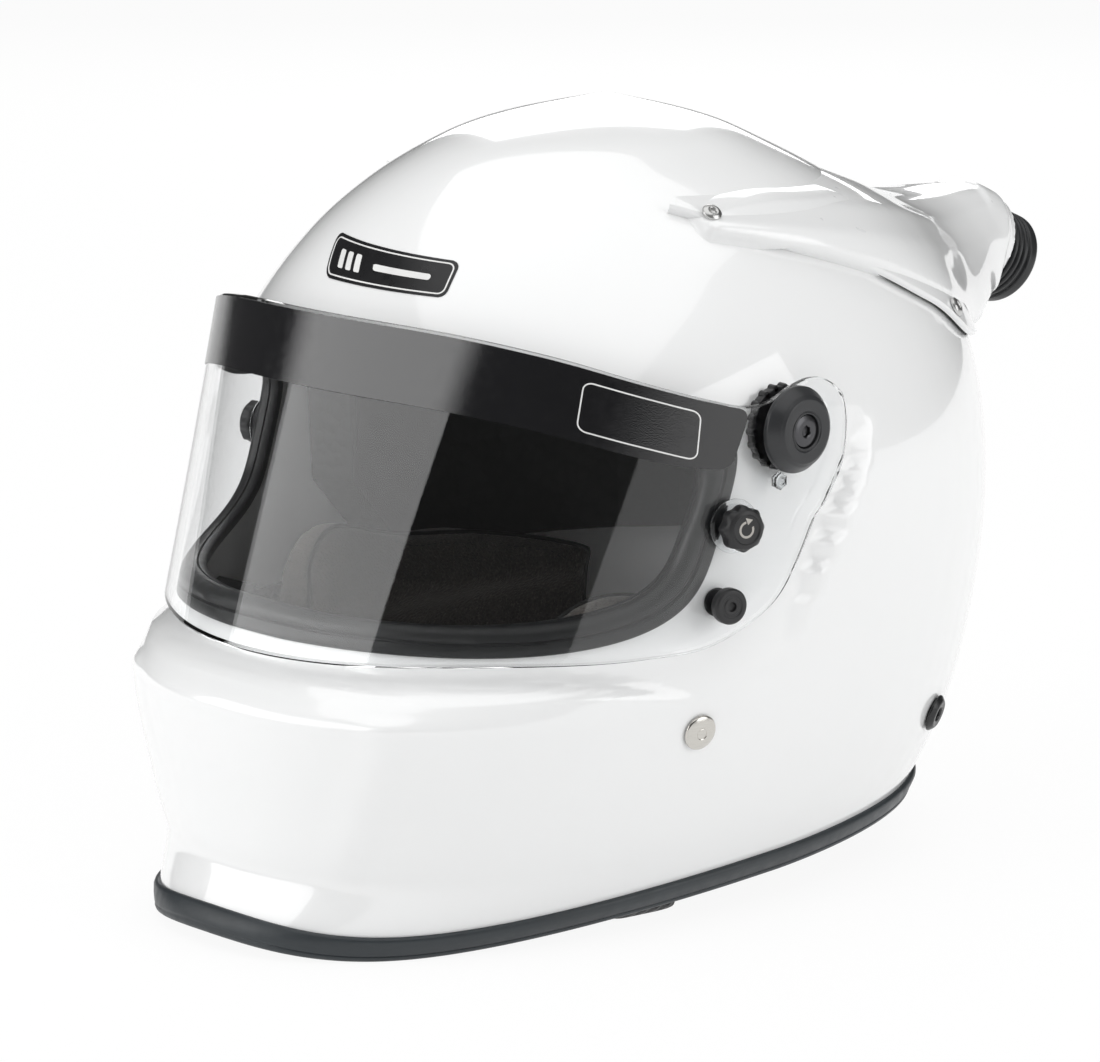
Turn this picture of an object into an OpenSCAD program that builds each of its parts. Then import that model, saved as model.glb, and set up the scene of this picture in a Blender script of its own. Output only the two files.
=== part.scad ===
// Full-face circuit racing helmet with a wrap-round visor and a rear air duct.
// Frame: +Z up, the wearer faces -Y, the wearer's left is +X.
// The origin is on the table, under the middle of the whole helmet's box.

/* [Shell] */
// Height of the crown above the table
shell_h = 281; // [270:1:292]
// Furthest reach of the chin bar in front of the ear line
chin_reach = 181; // [174:1:188]
// Furthest reach of the back of the head behind the ear line
rear_reach = 161; // [155:1:168]
// Half of the shell's greatest width
half_width = 129; // [124:1:134]
// Thickness of the laminate
shell_t = 3; // [2.4:0.2:3.6]

/* [Eyeport and visor] */
// Angle from straight ahead to the side of the eyeport
port_angle = 70; // [64:1:72]
// Height of the eyeport's lower edge
port_low = 112; // [108:1:118]
// Height of the eyeport's upper edge at the front
port_high = 201; // [194:1:206]
// Thickness of the visor
visor_t = 3; // [2.4:0.2:3.6]
// Space between the shell and the visor, which the gasket fills
port_gap = 3.2; // [2.8:0.1:4]
// Height of the visor's lower edge at the front
visor_low = 102; // [98:1:104]
// Height of the visor's upper edge at the front
visor_high = 217; // [212:1:220]
// Depth of the dark strip below the visor's upper edge
strip_depth = 24; // [15:1:30]
// Width of the gasket's lip outside the eyeport
lip_w = 5; // [3:0.5:6]

/* [Visor pivots] */
// Height of the pivot axis
pivot_z = 180; // [176:1:184]
// Distance of the pivot axis in front of the ear line
pivot_fwd = 22.5; // [18:0.5:26]
// Radius of the ratchet plate
ratchet_r = 15; // [13:0.5:16]
// Radius of the boss that the visor turns on
boss_r = 8.6; // [7:0.2:10]
// Radius of the cap outside the visor
cap_r = 15.2; // [13.5:0.1:17]
// Thickness of the cap
cap_t = 7; // [5:0.5:9]
// Radius of the pivot screw's shank
pivot_screw_r = 2.4; // [2:0.1:3]

/* [Tear-off posts and lock] */
// Height of the tear-off posts
post_z = 149; // [140:1:155]
// Distance of the tear-off posts in front of the ear line
post_fwd = 47; // [42:1:56]
// Radius of the tear-off knobs
knob_r = 8.2; // [6:0.2:10]
// Length of the tear-off knobs
knob_h = 8; // [6:0.5:10]
// Height of the lock button
lock_z = 122; // [118:1:128]
// Radius of the lock button
lock_r = 6.3; // [5:0.1:7.5]

/* [Edge trim] */
// Height of the rubber trim on the shell's edge
trim_h = 9; // [7:0.5:12]
// Thickness of the trim's rubber
trim_t = 2; // [1.5:0.1:2.8]
// Depth of the bead under the shell's edge
trim_bead = 3; // [2:0.5:4]

/* [Liner and pads] */
// Thickness of the crown's crushable liner
liner_t = 22; // [16:1:26]
// Thickness of the chin bar's crushable liner
chin_liner_t = 16; // [10:1:20]
// Thickness of the crown's comfort pad
crown_pad_t = 7; // [4:1:10]
// Thickness of the brow pad
brow_pad_t = 9; // [5:1:12]
// Thickness of a cheek pad
cheek_t = 30; // [22:1:34]
// Height of a cheek pad
cheek_h = 122; // [112:1:130]
// Thickness of the chin pad
chin_pad_t = 12; // [8:1:16]
// Thickness of the neck roll
neck_t = 20; // [14:1:24]
// Height of the neck roll
neck_h = 48; // [40:1:56]

/* [Chin strap] */
// Width of the chin strap
strap_w = 25; // [20:1:28]
// Thickness of the chin strap
strap_t = 2.4; // [1.8:0.1:3]
// Angle from straight ahead to the strap rivets
rivet_angle = 75.5; // [72:0.5:80]
// Height of the strap rivets
rivet_z = 76; // [70:1:80]
// Radius of the strap rivets' heads
rivet_r = 6.5; // [5:0.1:8]
// Thickness of the D-rings' wire
ring_wire = 4; // [3:0.5:5]

/* [Tether anchors] */
// Angle from straight ahead to the tether anchors
anchor_angle = 121; // [116:1:126]
// Height of the tether anchors
anchor_z = 55; // [50:1:62]
// Radius of the anchors' outside flange
anchor_r = 7; // [6:0.5:9]
// Radius of the anchors' tapped hole
anchor_hole_r = 2.5; // [2.1:0.1:3]
// Length of the anchors' thread
anchor_len = 8; // [6.5:0.5:10]

/* [Air duct] */
// Reach of the duct's port behind the ear line
duct_reach = 217.5; // [208:0.5:224]
// Height of the port's centre
port_z = 202.5; // [197:0.5:208]
// Wall of the duct
duct_t = 2.5; // [2:0.1:3]
// Radius of the hose nozzle's ribs
nozzle_r = 18.25; // [16:0.25:20]
// Wall of the nozzle
nozzle_wall = 2.75; // [2:0.25:3.5]
// Length of the nozzle that stands out of the duct
nozzle_len = 18; // [14:1:26]
// Angle of the nozzle below level
nozzle_dip = 25; // [15:1:30]
// Radius of the duct screws' heads
duct_screw_r = 3.6; // [3:0.1:4.4]

/* [Hidden] */
$fn = 48;
// Clearance of a rigid piece that is seated on its neighbour
fit = 0.1;
// Clearance of a soft piece from its neighbours
soft_gap = 0.3;
// Clearance of a hole round what passes through it
hole_gap = 0.3;
// Clearance of the visor from what it turns on and under
turn_gap = 0.2;
// Clearance between the nominal surfaces of two curved pieces that lie on each other
face_gap = 1.2;
// The same between two linings, whose facets are wider
lining_gap = 2.5;
// Radii of the shanks of rivets, duct screws, tear-off studs and the lock button
rivet_shank = 2.5;
duct_shank = 1.6;
stud_r = 2;
lock_shank = 2.6;
// Lock button's flange inside the visor, and how far the button is pressed in
lock_flange_r = 4;
lock_flange_t = 0.6;
lock_travel = 1.2;
// Head of a tear-off stud, sunk in the visor's inside
stud_head_r = 3.6;
stud_head_t = 1;
// Head of the pivot screw
screw_head_r = 5.6;
screw_head_t = 3;
// Space between the shell and the strap riveted in it
strap_gap = 0.9;
// Thickness of the washer under a tear-off knob
washer_t = 1.2;
// Thickness of the boss in the shell behind a visor pivot
pivot_boss_t = 5;

// Outline stations, drawn for a shell of these sizes and scaled to the sizes above
drawn_h = 281;
drawn_chin = 181;
drawn_rear = 161;
drawn_half = 129;
kz = shell_h / drawn_h;
// Reach in front of the ear line by height
FRONT = [for (p = [[-3, 181], [7, 179.5], [27, 169.5], [47, 170], [68, 172.5], [80, 173], [86, 171.5],
                   [92, 166], [107, 152.5], [122, 147], [147, 141], [172, 134], [203, 121], [225, 108],
                   [247, 87], [264, 60], [275, 30], [281, -15]])
    [p[0] * kz, p[1] * chin_reach / drawn_chin]];
// Reach behind the ear line by height
REAR = [for (p = [[-3, 127], [17, 131], [47, 144], [82, 152], [117, 158], [157, 161], [189, 158],
                  [222, 139], [245, 108], [263, 72], [275, 42], [281, 15]])
    [p[0] * kz, p[1] * rear_reach / drawn_rear]];
// Half width by height
SIDE = [for (p = [[-3, 86], [11, 98], [27, 106], [57, 116], [97, 124], [137, 129], [167, 127.5],
                  [197, 119], [222, 103.5], [245, 83], [263, 58], [275, 32], [281, 1]])
    [p[0] * kz, p[1] * half_width / drawn_half]];
// Squareness of the plan by height
SQUARE = [for (p = [[-3, 2.2], [87, 2.4], [147, 2.25], [217, 2.05], [281, 2]]) [p[0] * kz, p[1]]];
// Height of the shell's edge by angle from straight ahead
EDGE = [[0, 8], [40, 3], [80, 12], [110, 18], [150, 19], [180, 14]];
// Lower and upper limit of the recess for the visor, by distance behind the ear line
RECESS_LOW = [[-165, 96], [-100, 96], [-76, 93], [-56, 88], [-40, 84], [-30, 85], [-18, 98],
              [-10, 119], [4, 145], [16, 165], [22, 181]];
RECESS_TOP = [[-165, 216], [-130, 216], [-97, 209], [-72, 202], [-50, 196], [-38, 193], [-22, 197],
              [-8, 200], [4, 198], [14, 192], [22, 183]];
recess_step = 7;
// Lower and upper edge of the visor by distance behind the ear line, above and below the front's
VISOR_LOW = [[-165, 0], [-135, 2.6], [-80, 3.5], [-58, 4.4], [-39, 8], [-24, 17], [-6, 43], [6, 62],
             [12, 72]];
VISOR_TOP = [[-165, 0], [-130, 0], [-118, -1.5], [-97, -7.5], [-72, -17], [-50, -24.5], [-38, -27.5],
             [-30, -26.5], [-22, -22.5], [-11, -20.5], [0, -25], [8, -33], [12, -41]];

nose = reach(FRONT, EDGE[0][1]) + trim_t + soft_gap;
port_r = nozzle_r + duct_t;
tail = duct_reach + nozzle_len * cos(nozzle_dip) + nozzle_r * sin(nozzle_dip);
// Distance of the ear line from the middle of the helmet's box
ear_y = (nose - tail) / 2;

// Smooth curve through a table of stations
function slope(t, i) = i == 0 ? (t[1][1] - t[0][1]) / (t[1][0] - t[0][0])
    : i == len(t) - 1 ? (t[i][1] - t[i - 1][1]) / (t[i][0] - t[i - 1][0])
    : let (a = t[i][0] - t[i - 1][0], b = t[i + 1][0] - t[i][0])
      ((t[i][1] - t[i - 1][1]) / a * b + (t[i + 1][1] - t[i][1]) / b * a) / (a + b);
function station(t, x) = max([0, for (k = [1 : len(t) - 2]) if (t[k][0] <= x) k]);
function reach(t, x0) =
    let (x = min(max(x0, t[0][0]), t[len(t) - 1][0]), i = station(t, x), h = t[i + 1][0] - t[i][0],
         u = (x - t[i][0]) / h, uu = u * u, uuu = uu * u)
    (2 * uuu - 3 * uu + 1) * t[i][1] + (uuu - 2 * uu + u) * h * slope(t, i)
    + (3 * uu - 2 * uuu) * t[i + 1][1] + (uuu - uu) * h * slope(t, i + 1);
function power(v, e) = sign(v) * pow(abs(v), e);
function blend(u) = let (c = min(max(u, 0), 1)) c * c * (3 - 2 * c);
function unit(v) = v / norm(v);
function fold(a) = abs(a > 180 ? a - 360 : a < -180 ? a + 360 : a);

// Visor: straight from top to bottom, a superellipse in plan in front of its flat sides
visor_flat = -12;
visor_square = 2.05;
visor_half = half_width + 1;
function visor_reach(z) =
    let (a = visor_low + 3, b = visor_high - 14, fa = reach(FRONT, a), fb = reach(FRONT, b))
    fa + (z - a) * (fb - fa) / (b - a) + port_gap + visor_t;
function visor_x(y, z, off) =
    let (d = max(0, visor_flat - y), u = min(1, d / (visor_reach(z) + off + visor_flat)))
    (visor_half + off) * pow(1 - pow(u, visor_square), 1 / visor_square);

// Middle of the plan, which moves back towards the crown's highest point
crown_back = (reach(REAR, shell_h) - reach(FRONT, shell_h)) / 2;
function middle(z) = crown_back * blend((z / shell_h - 0.66) / 0.34);
// Outer surface of the shell by angle from straight ahead and height
function plain(a, z) =
    let (e = 2 / reach(SQUARE, z), c = cos(a), m = middle(z),
         y = c >= 0 ? -(reach(FRONT, z) + m) * pow(c, e) : (reach(REAR, z) - m) * pow(-c, e))
    [reach(SIDE, z) * power(sin(a), e), m + y, z];
function outward(a, z0) =
    let (z = min(z0, shell_h - 1.5))
    unit(cross(plain(a + 1, z) - plain(a - 1, z), plain(a, z + 1) - plain(a, z - 1)));
function step_in(d) = blend(d / recess_step + 0.5);
function recess_depth(p) = step_in(p.z - reach(RECESS_LOW, p.y)) * step_in(reach(RECESS_TOP, p.y) - p.z)
    * step_in(RECESS_LOW[len(RECESS_LOW) - 1][0] - p.y);
// Share of the way out to the recess's floor, 1 or less inside it
function beyond_floor(p) =
    let (f = visor_reach(p.z) - visor_t - port_gap + visor_flat, d = max(0, visor_flat - p.y))
    pow(pow(abs(p.x) / (visor_half - visor_t - port_gap), visor_square) + pow(d / f, visor_square),
        1 / visor_square);
function recessed(p) =
    let (g = beyond_floor(p), k = g > 1 ? 1 + (1 / g - 1) * recess_depth(p) : 1)
    [p.x * k, p.y > visor_flat ? p.y : visor_flat + (p.y - visor_flat) * k, p.z];
// Point of the shell at an offset, in the helmet's own frame
function skin(a, z, off = 0) = recessed(plain(a, z)) + outward(a, z) * off + [0, ear_y, 0];
function edge_z(a) = reach(EDGE, fold(a));
// Surface for the linings, which stays behind the recess's floor over the whole front
function lined(a, z, off) =
    let (p = plain(a, z), g = beyond_floor(p), k = g > 1 ? 1 + (1 / g - 1) * blend((46 - p.y) / 30) : 1)
    [p.x * k, p.y > visor_flat ? p.y : visor_flat + (p.y - visor_flat) * k, p.z]
    + outward(a, z) * off + [0, ear_y, 0];

// Solid between two grids of points, rows up and columns by growing angle
function quad(a, b, c, d) = [[a, b, c], [a, c, d]];
module slab(outer, inner) {
    m = len(outer);
    n = len(outer[0]);
    s = m * n;
    faces = [
        for (j = [0 : m - 2], i = [0 : n - 2]) let (a = j * n + i) each concat(
            quad(a, a + n, a + n + 1, a + 1), quad(s + a, s + a + 1, s + a + n + 1, s + a + n)),
        for (i = [0 : n - 2]) let (t = (m - 1) * n + i) each concat(
            quad(i, i + 1, s + i + 1, s + i), quad(t + 1, t, s + t, s + t + 1)),
        for (j = [0 : m - 2]) let (a = j * n, b = a + n - 1) each concat(
            quad(a + n, a, s + a, s + a + n), quad(b, b + n, s + b + n, s + b))];
    polyhedron([for (g = [outer, inner], r = g, p = r) p], faces);
}
// Solid between two closed domes, joined at their lower edge
module dome(outer, inner, top, under) {
    m = len(outer);
    n = len(outer[0]);
    s = m * n;
    faces = [
        for (j = [0 : m - 2], i = [0 : n - 1]) let (a = j * n + i, b = j * n + (i + 1) % n) each concat(
            quad(a, a + n, b + n, b), quad(s + a, s + b, s + b + n, s + a + n)),
        for (i = [0 : n - 1]) let (k = (i + 1) % n, t = (m - 1) * n) each concat(
            quad(i, k, s + k, s + i), [[t + i, 2 * s, t + k], [s + t + k, 2 * s + 1, s + t + i]])];
    polyhedron(concat([for (g = [outer, inner], r = g, p = r) p], [top, under]), faces);
}
// Solid swept through rings of points; a closed sweep joins its last ring to its first
module sweep(rings, closed = true) {
    m = len(rings);
    n = len(rings[0]);
    faces = [
        for (k = [0 : m - (closed ? 1 : 2)], s = [0 : n - 1]) let (l = (k + 1) % m, t = (s + 1) % n)
            each quad(k * n + s, k * n + t, l * n + t, l * n + s),
        if (!closed) [for (s = [n - 1 : -1 : 0]) s],
        if (!closed) [for (s = [0 : n - 1]) (m - 1) * n + s]];
    polyhedron([for (r = rings, p = r) p], faces);
}
// Children with their +Z along a direction
module along(p, n) {
    translate(p) rotate([0, acos(n.z), atan2(n.y, n.x)]) children();
}
// Drill with a round section, from z0 to z1 along its own axis
module drill(r, z0, z1) {
    hull() translate([0, 0, z0]) cylinder(r = r, h = z1 - z0, $fn = 32);
}
module both() {
    children();
    mirror([1, 0, 0]) children();
}

// Angles of the shell's columns, closer together at the sides
columns = 44;
function column(i) = let (t = i * 360 / columns) t + 10 * sin(2 * t);
// Heights of the shell's rows above its edge
ROWS = [0, trim_h - trim_bead, 20, 40, 62, 79, 88, 97, 107, 122, 140, 158, 174, 188, 202, 216, 230, 243,
        255, 265, 273, 279];
function row_z(a, r) = let (e = edge_z(a)) e + r * kz * (1 - e / shell_h);
function shell_row(r, off) = [for (i = [0 : columns - 1]) skin(column(i), row_z(column(i), r), off)];
function shell_grid(off) = [for (r = ROWS) shell_row(r, off)];
// Crown's highest point at an offset
function crown(off) = [0, crown_back + ear_y, shell_h + off];

// Eyeport outline: squareness, and how much narrower it is at its lower edge
port_square = 4.6;
port_rake = 4;
mm_deg = 180 / (3.1416 * half_width);
function port_mid(a) = (port_low + port_high) / 2 - 8 * blend(abs(a) / 90);
function port_half(a) = (port_high - port_low) / 2 - 6 * blend(abs(a) / 90);
// Angle and height of the outline, grown by a distance
function port_point(t, grow) =
    let (r = pow(pow(abs(cos(t)), port_square) + pow(abs(sin(t)), port_square), 1 / port_square),
         c = cos(t) / r, s = sin(t) / r, a = c * (port_angle + port_rake * s + grow * mm_deg))
    [a, port_mid(a) + s * (port_half(a) + grow)];
port_points = 56;
// Directions of the outline's points, closer together at its corners
function port_turn(k) = let (t = k * 360 / port_points) t + 6 * sin(4 * t);

module port_cutter() {
    depth = 22;
    n = port_points;
    function wall(k, off) = let (w = port_point(port_turn(k), 0)) skin(w[0], w[1], off);
    function centre(share) = [0, -chin_reach * share + ear_y, (port_low + port_high) / 2];
    polyhedron(concat([for (k = [0 : n - 1]) wall(k, depth)], [for (k = [0 : n - 1]) wall(k, -depth)],
                      [centre(1.5), centre(0.3)]),
        [for (k = [0 : n - 1]) let (l = (k + 1) % n) each concat(
            quad(l, n + l, n + k, k), [[l, k, 2 * n], [n + k, n + l, 2 * n + 1]])]);
}

// Places on the shell
pivot_y = ear_y - pivot_fwd;
pivot_floor = visor_x(-pivot_fwd, pivot_z, -visor_t - port_gap) - 2.3;
rivet_p = skin(rivet_angle, rivet_z);
rivet_n = outward(rivet_angle, rivet_z);
anchor_p = skin(anchor_angle, anchor_z);
anchor_n = outward(anchor_angle, anchor_z);
post_p = [visor_x(-post_fwd, post_z, 0), ear_y - post_fwd, post_z];
lock_fwd = post_fwd + 4;
lock_p = [visor_x(-lock_fwd, lock_z, 0), ear_y - lock_fwd, lock_z];
function visor_n(y, z) = unit(cross([visor_x(y + 1, z, 0) - visor_x(y - 1, z, 0), 2, 0],
                                    [visor_x(y, z + 1, 0) - visor_x(y, z - 1, 0), 0, 2]));
post_n = visor_n(-post_fwd, post_z);
lock_n = visor_n(-lock_fwd, lock_z);
// Duct screws: angle from straight ahead and height
DUCT_SCREWS = [[76, 245.5], [128.5, 201.5]];
duct_gap = 1.5;

// Shell
module outer_shell() {
    color("white") difference() {
        union() {
            dome(shell_grid(0), shell_grid(-shell_t), crown(0), crown(-shell_t));
            both() translate([pivot_floor - pivot_boss_t, pivot_y, pivot_z]) rotate([0, 90, 0])
                cylinder(r = ratchet_r + 2, h = pivot_boss_t);
        }
        port_cutter();
        air_slot(1.1, 0.9);
        both() {
            translate([pivot_floor, pivot_y, pivot_z]) rotate([0, 90, 0]) drill(ratchet_r + 0.6, 0, 20);
            translate([pivot_floor, pivot_y, pivot_z]) rotate([0, 90, 0])
                drill(pivot_screw_r + hole_gap, -pivot_boss_t - 1, 1);
            along(rivet_p, rivet_n) drill(rivet_shank + hole_gap, -8, 8);
            along(anchor_p, anchor_n) drill(anchor_r - 1.5 + hole_gap, -8, 8);
            for (d = DUCT_SCREWS) along(skin(d[0], d[1] * kz), outward(d[0], d[1] * kz))
                drill(duct_shank + hole_gap, -8, 8);
        }
    }
}
// Slot in the shell under the duct, between two shares of the shell's radius
module air_slot(k1, k0) {
    function cut(a, z, k) = let (p = plain(a, z)) [p.x * k, p.y * k + ear_y, p.z];
    slab([for (z = [212, 220, 228]) [for (a = [150 : 6 : 210]) cut(a, z * kz, k1)]],
         [for (z = [212, 220, 228]) [for (a = [150 : 6 : 210]) cut(a, z * kz, k0)]]);
}

// Rubber trim folded over the shell's edge
module edge_trim() {
    gap = 2 * soft_gap;
    o = trim_t + soft_gap;
    i = -shell_t - trim_t - soft_gap;
    up = trim_h - trim_bead;
    section = [[o * 0.8, -trim_bead], [o, -trim_bead * 0.6], [o, up - 1], [o * 0.6, up],
               [gap, up], [gap, -gap], [-shell_t - gap, -gap], [-shell_t - gap, up],
               [i * 0.92, up], [i, up - 1], [i, -trim_bead * 0.6], [i * 0.92, -trim_bead]];
    color("dimgray") sweep([for (k = [0 : columns - 1]) let (a = column(k), e = edge_z(a))
        [for (s = section) let (p = skin(a, row_z(a, max(s[1], 0)), s[0]))
            [p.x, p.y, s[1] < -1 ? e + s[1] : p.z + min(s[1], 0)]]]);
}

// Rubber gasket round the eyeport
module eyeport_gasket() {
    lip = port_gap - 0.9;
    under = 0.9;
    section = [[lip_w, under], [lip_w, lip * 0.7], [lip_w - 1.5, lip], [-3, lip], [-6, 0],
               [-6, -shell_t - 4], [-1.1, -shell_t - 4], [-1.1, under]];
    color("black") sweep([for (k = [0 : port_points - 1])
        [for (s = section) let (w = port_point(port_turn(k), s[0])) skin(w[0], w[1], s[1])]]);
}

// Angles of the crown linings' columns
lining_columns = 28;
function lining_turn(i) = let (t = i * 360 / lining_columns) t + 10 * sin(2 * t);
// Crushable liner of the crown
module crown_liner() {
    over = port_high + 5;
    low = [[0, over + 2], [60, over], [69, over - 4], [75, over - 18],
           [79, (port_low + port_high) / 2 - 6], [83, port_low], [88, port_low - 15],
           [95, port_low - 20], [110, port_low - 21], [180, port_low - 21]];
    share = [0, 0.09, 0.22, 0.4, 0.58, 0.75, 0.88, 0.96];
    o = -shell_t - face_gap;
    function at(i, s, off) = let (a = lining_turn(i), z0 = reach(low, fold(a)))
        lined(a, z0 + (shell_h - 1 - z0) * s, off);
    n = lining_columns;
    color("whitesmoke") difference() {
        dome([for (s = share) [for (i = [0 : n - 1]) at(i, s, o)]],
             [for (s = share) [for (i = [0 : n - 1]) at(i, s, o - liner_t)]],
             crown(o), crown(o - liner_t));
        both() {
            translate([pivot_floor, pivot_y, pivot_z]) rotate([0, 90, 0])
                drill(ratchet_r + 2 + soft_gap, -pivot_boss_t - 3, 8);
            for (a = [153, 165, 177]) along(skin(a, 220 * kz), outward(a, 220 * kz))
                drill(5, -liner_t - 12, 2);
        }
    }
}

// Crushable liner of the chin bar
module chin_liner() {
    o = -shell_t - face_gap;
    low = 30;
    high = port_low - 11;
    cols = [for (i = [-7 : 7]) i * 8.2];
    rows = [for (j = [0 : 5]) low + (high - low) * j / 5];
    color("whitesmoke") slab([for (z = rows) [for (a = cols) lined(a, z, o)]],
                             [for (z = rows) [for (a = cols) lined(a, z, o - chin_liner_t)]]);
}

// Soft pad on the shell: outline by angle and height, faces by offset, crowned inside
function swell(u) = 1 - pow(abs(2 * u - 1), 3);
padded = function (a, z, d) let (p = lined(a, z, -d)) [p.x, p.y, z + (p.z - z) * blend(z / 90)];
module pad(a0, a1, cols, rows, low, high, seat, thick, drawn, place) {
    function at(i, j, inside) =
        let (u = i / cols, v = j / rows, a = a0 + (a1 - a0) * u, z0 = reach(low, a), z1 = reach(high, a),
             z = z0 + (z1 - z0) * v, s = seat(a, z), c = swell(u) * swell(v),
             t = inside ? thick * (1 - drawn + drawn * pow(c, 0.5)) : drawn * 4 * (1 - pow(c, 0.25)))
        place(a, z, s + t);
    slab([for (j = [0 : rows]) [for (i = [0 : cols]) at(i, j, false)]],
         [for (j = [0 : rows]) [for (i = [0 : cols]) at(i, j, true)]]);
}
liner_face = shell_t + face_gap + liner_t;
chin_face = shell_t + face_gap + chin_liner_t;

module crown_pad() {
    over = port_high + 31;
    low = [[0, over - 1], [60, over], [84, over - 10], [100, port_high - 13], [130, port_low + 40],
           [180, port_low + 34]];
    share = [0, 0.06, 0.2, 0.4, 0.58, 0.75, 0.88, 0.96];
    n = lining_columns;
    function at(i, s, off) = let (a = lining_turn(i), z0 = reach(low, fold(a)))
        lined(a, z0 + (shell_h - 1 - z0) * s, off);
    function full(s) = 0.35 + 0.65 * min(1, s * 9);
    o = -liner_face - lining_gap;
    color("darkslategray") dome(
        [for (s = share) [for (i = [0 : n - 1]) at(i, s, o - (s == 0 ? 1.5 : 0))]],
        [for (s = share) [for (i = [0 : n - 1]) at(i, s, o - crown_pad_t * full(s))]],
        crown(o), crown(o - crown_pad_t));
}
module brow_pad() {
    color("darkslategray") pad(-58, 58, 16, 5,
        [[-58, port_high + 7], [0, port_high + 10], [58, port_high + 7]],
        [[-58, port_high + 19], [0, port_high + 26], [58, port_high + 19]],
        function (a, z) liner_face + face_gap, brow_pad_t, 0.5, padded);
}
module chin_pad() {
    low = 44;
    high = port_low - 13;
    // Straight from its lower to its upper edge, as the chin bar is bent sharply between them
    straight = function (a, z, d) let (v = (z - low) / (high - low))
        lined(a, low, -d) * (1 - v) + lined(a, high, -d) * v;
    color("darkslategray") pad(-26, 26, 10, 6, [[-26, low + 8], [0, low], [26, low + 8]],
        [[-26, high - 3], [0, high], [26, high - 3]],
        function (a, z) chin_face + face_gap, chin_pad_t, 0.5, straight);
}
module cheek_pad() {
    wall = shell_t + 6.9;
    seat = function (a, z) let (up = blend((z - 68) / 14), fore = 1 - blend((a - 61) / 7))
        max(wall + (liner_face + lining_gap - wall) * up, (chin_face + lining_gap) * fore);
    color("darkslategray") pad(47, 126, 15, 11,
        [[47, 18], [62, 4], [70, 7], [86, 7], [93, 2], [98, 1], [110, 1], [126, 1]],
        [[47, cheek_h - 8], [60, cheek_h], [74, cheek_h - 6], [86, cheek_h - 16], [100, cheek_h - 24],
         [126, cheek_h - 38]],
        seat, cheek_t, 0.55, padded);
}
module cheek_pad_left() { cheek_pad(); }
module cheek_pad_right() { mirror([1, 0, 0]) cheek_pad(); }
module neck_roll() {
    color("darkslategray") pad(132, 228, 16, 7, [[132, 0], [180, 0], [228, 0]],
        [[132, neck_h - 8], [145, neck_h], [215, neck_h], [228, neck_h - 8]],
        function (a, z) shell_t + trim_t + lining_gap, neck_t, 0.5, padded);
}

// Visor
function visor_y(a, z) = visor_flat - (visor_reach(z) + visor_flat) * pow(cos(a), 2 / visor_square);
function visor_at(a, z, off) =
    [(visor_half + off) * power(sin(a), 2 / visor_square),
     visor_y(a, z) - off * pow(cos(a), 2 / visor_square) + ear_y, z];
function visor_lower(y) = visor_low + reach(VISOR_LOW, y);
function visor_upper(y) = visor_high + reach(VISOR_TOP, y);
// Columns: angles round the curved front, then places along the flat sides
VISOR_FRONT = [0, 9, 18, 27, 36, 45, 54, 62, 69, 76, 81, 84, 87];
strip_end = 77;
VISOR_SIDE = [-12, -6, 0, 5, 9, 11.5, 12.4];
function visor_half_row(v, off) = concat(
    [for (a = VISOR_FRONT)
        let (lo = visor_lower(visor_y(a, visor_low)), hi = visor_upper(visor_y(a, visor_high)))
        visor_at(a, lo + (hi - lo) * v, off)],
    [for (y = VISOR_SIDE) [visor_half + off, y + ear_y, visor_lower(y) * (1 - v) + visor_upper(y) * v]]);
function mirrored(row) = concat([for (k = [len(row) - 1 : -1 : 1]) [-row[k].x, row[k].y, row[k].z]], row);
module visor_lens() {
    rows = [0, 1];
    color([0.9, 0.95, 1, 0.35]) difference() {
        slab([for (v = rows) mirrored(visor_half_row(v, 0))],
             [for (v = rows) mirrored(visor_half_row(v, -visor_t))]);
        both() {
            translate([visor_half, pivot_y, pivot_z]) rotate([0, 90, 0]) drill(boss_r + turn_gap, -9, 6);
            along(post_p, post_n) drill(stud_r + hole_gap, -8, 8);
            along(post_p, post_n) drill(stud_head_r + hole_gap, -visor_t - 4, stud_head_t - visor_t + fit);
        }
        along(lock_p, lock_n) drill(lock_shank + hole_gap, -8, 8);
        along(lock_p, lock_n) drill(lock_flange_r + hole_gap, -visor_t - 4, lock_seat + fit);
    }
}

// Dark strip along the visor's upper edge, cut slanting at its ends
module visor_strip() {
    film_t = 0.5;
    seat = 2 * soft_gap;
    function at(a, v, off) =
        let (k = a - 3 * (1 - v) * blend((a - 60) / 16),
             hi = visor_upper(visor_y(k, visor_high)) - 0.6,
             lo = hi - strip_depth * (1 - 0.1 * blend((a - 60) / 16)))
        visor_at(k, lo + (hi - lo) * v, off);
    function rows(off) = [for (v = [0, 1])
        mirrored([for (a = VISOR_FRONT) if (a < strip_end) at(a, v, off)])];
    color("black") slab(rows(seat + film_t), rows(seat));
}

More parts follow.
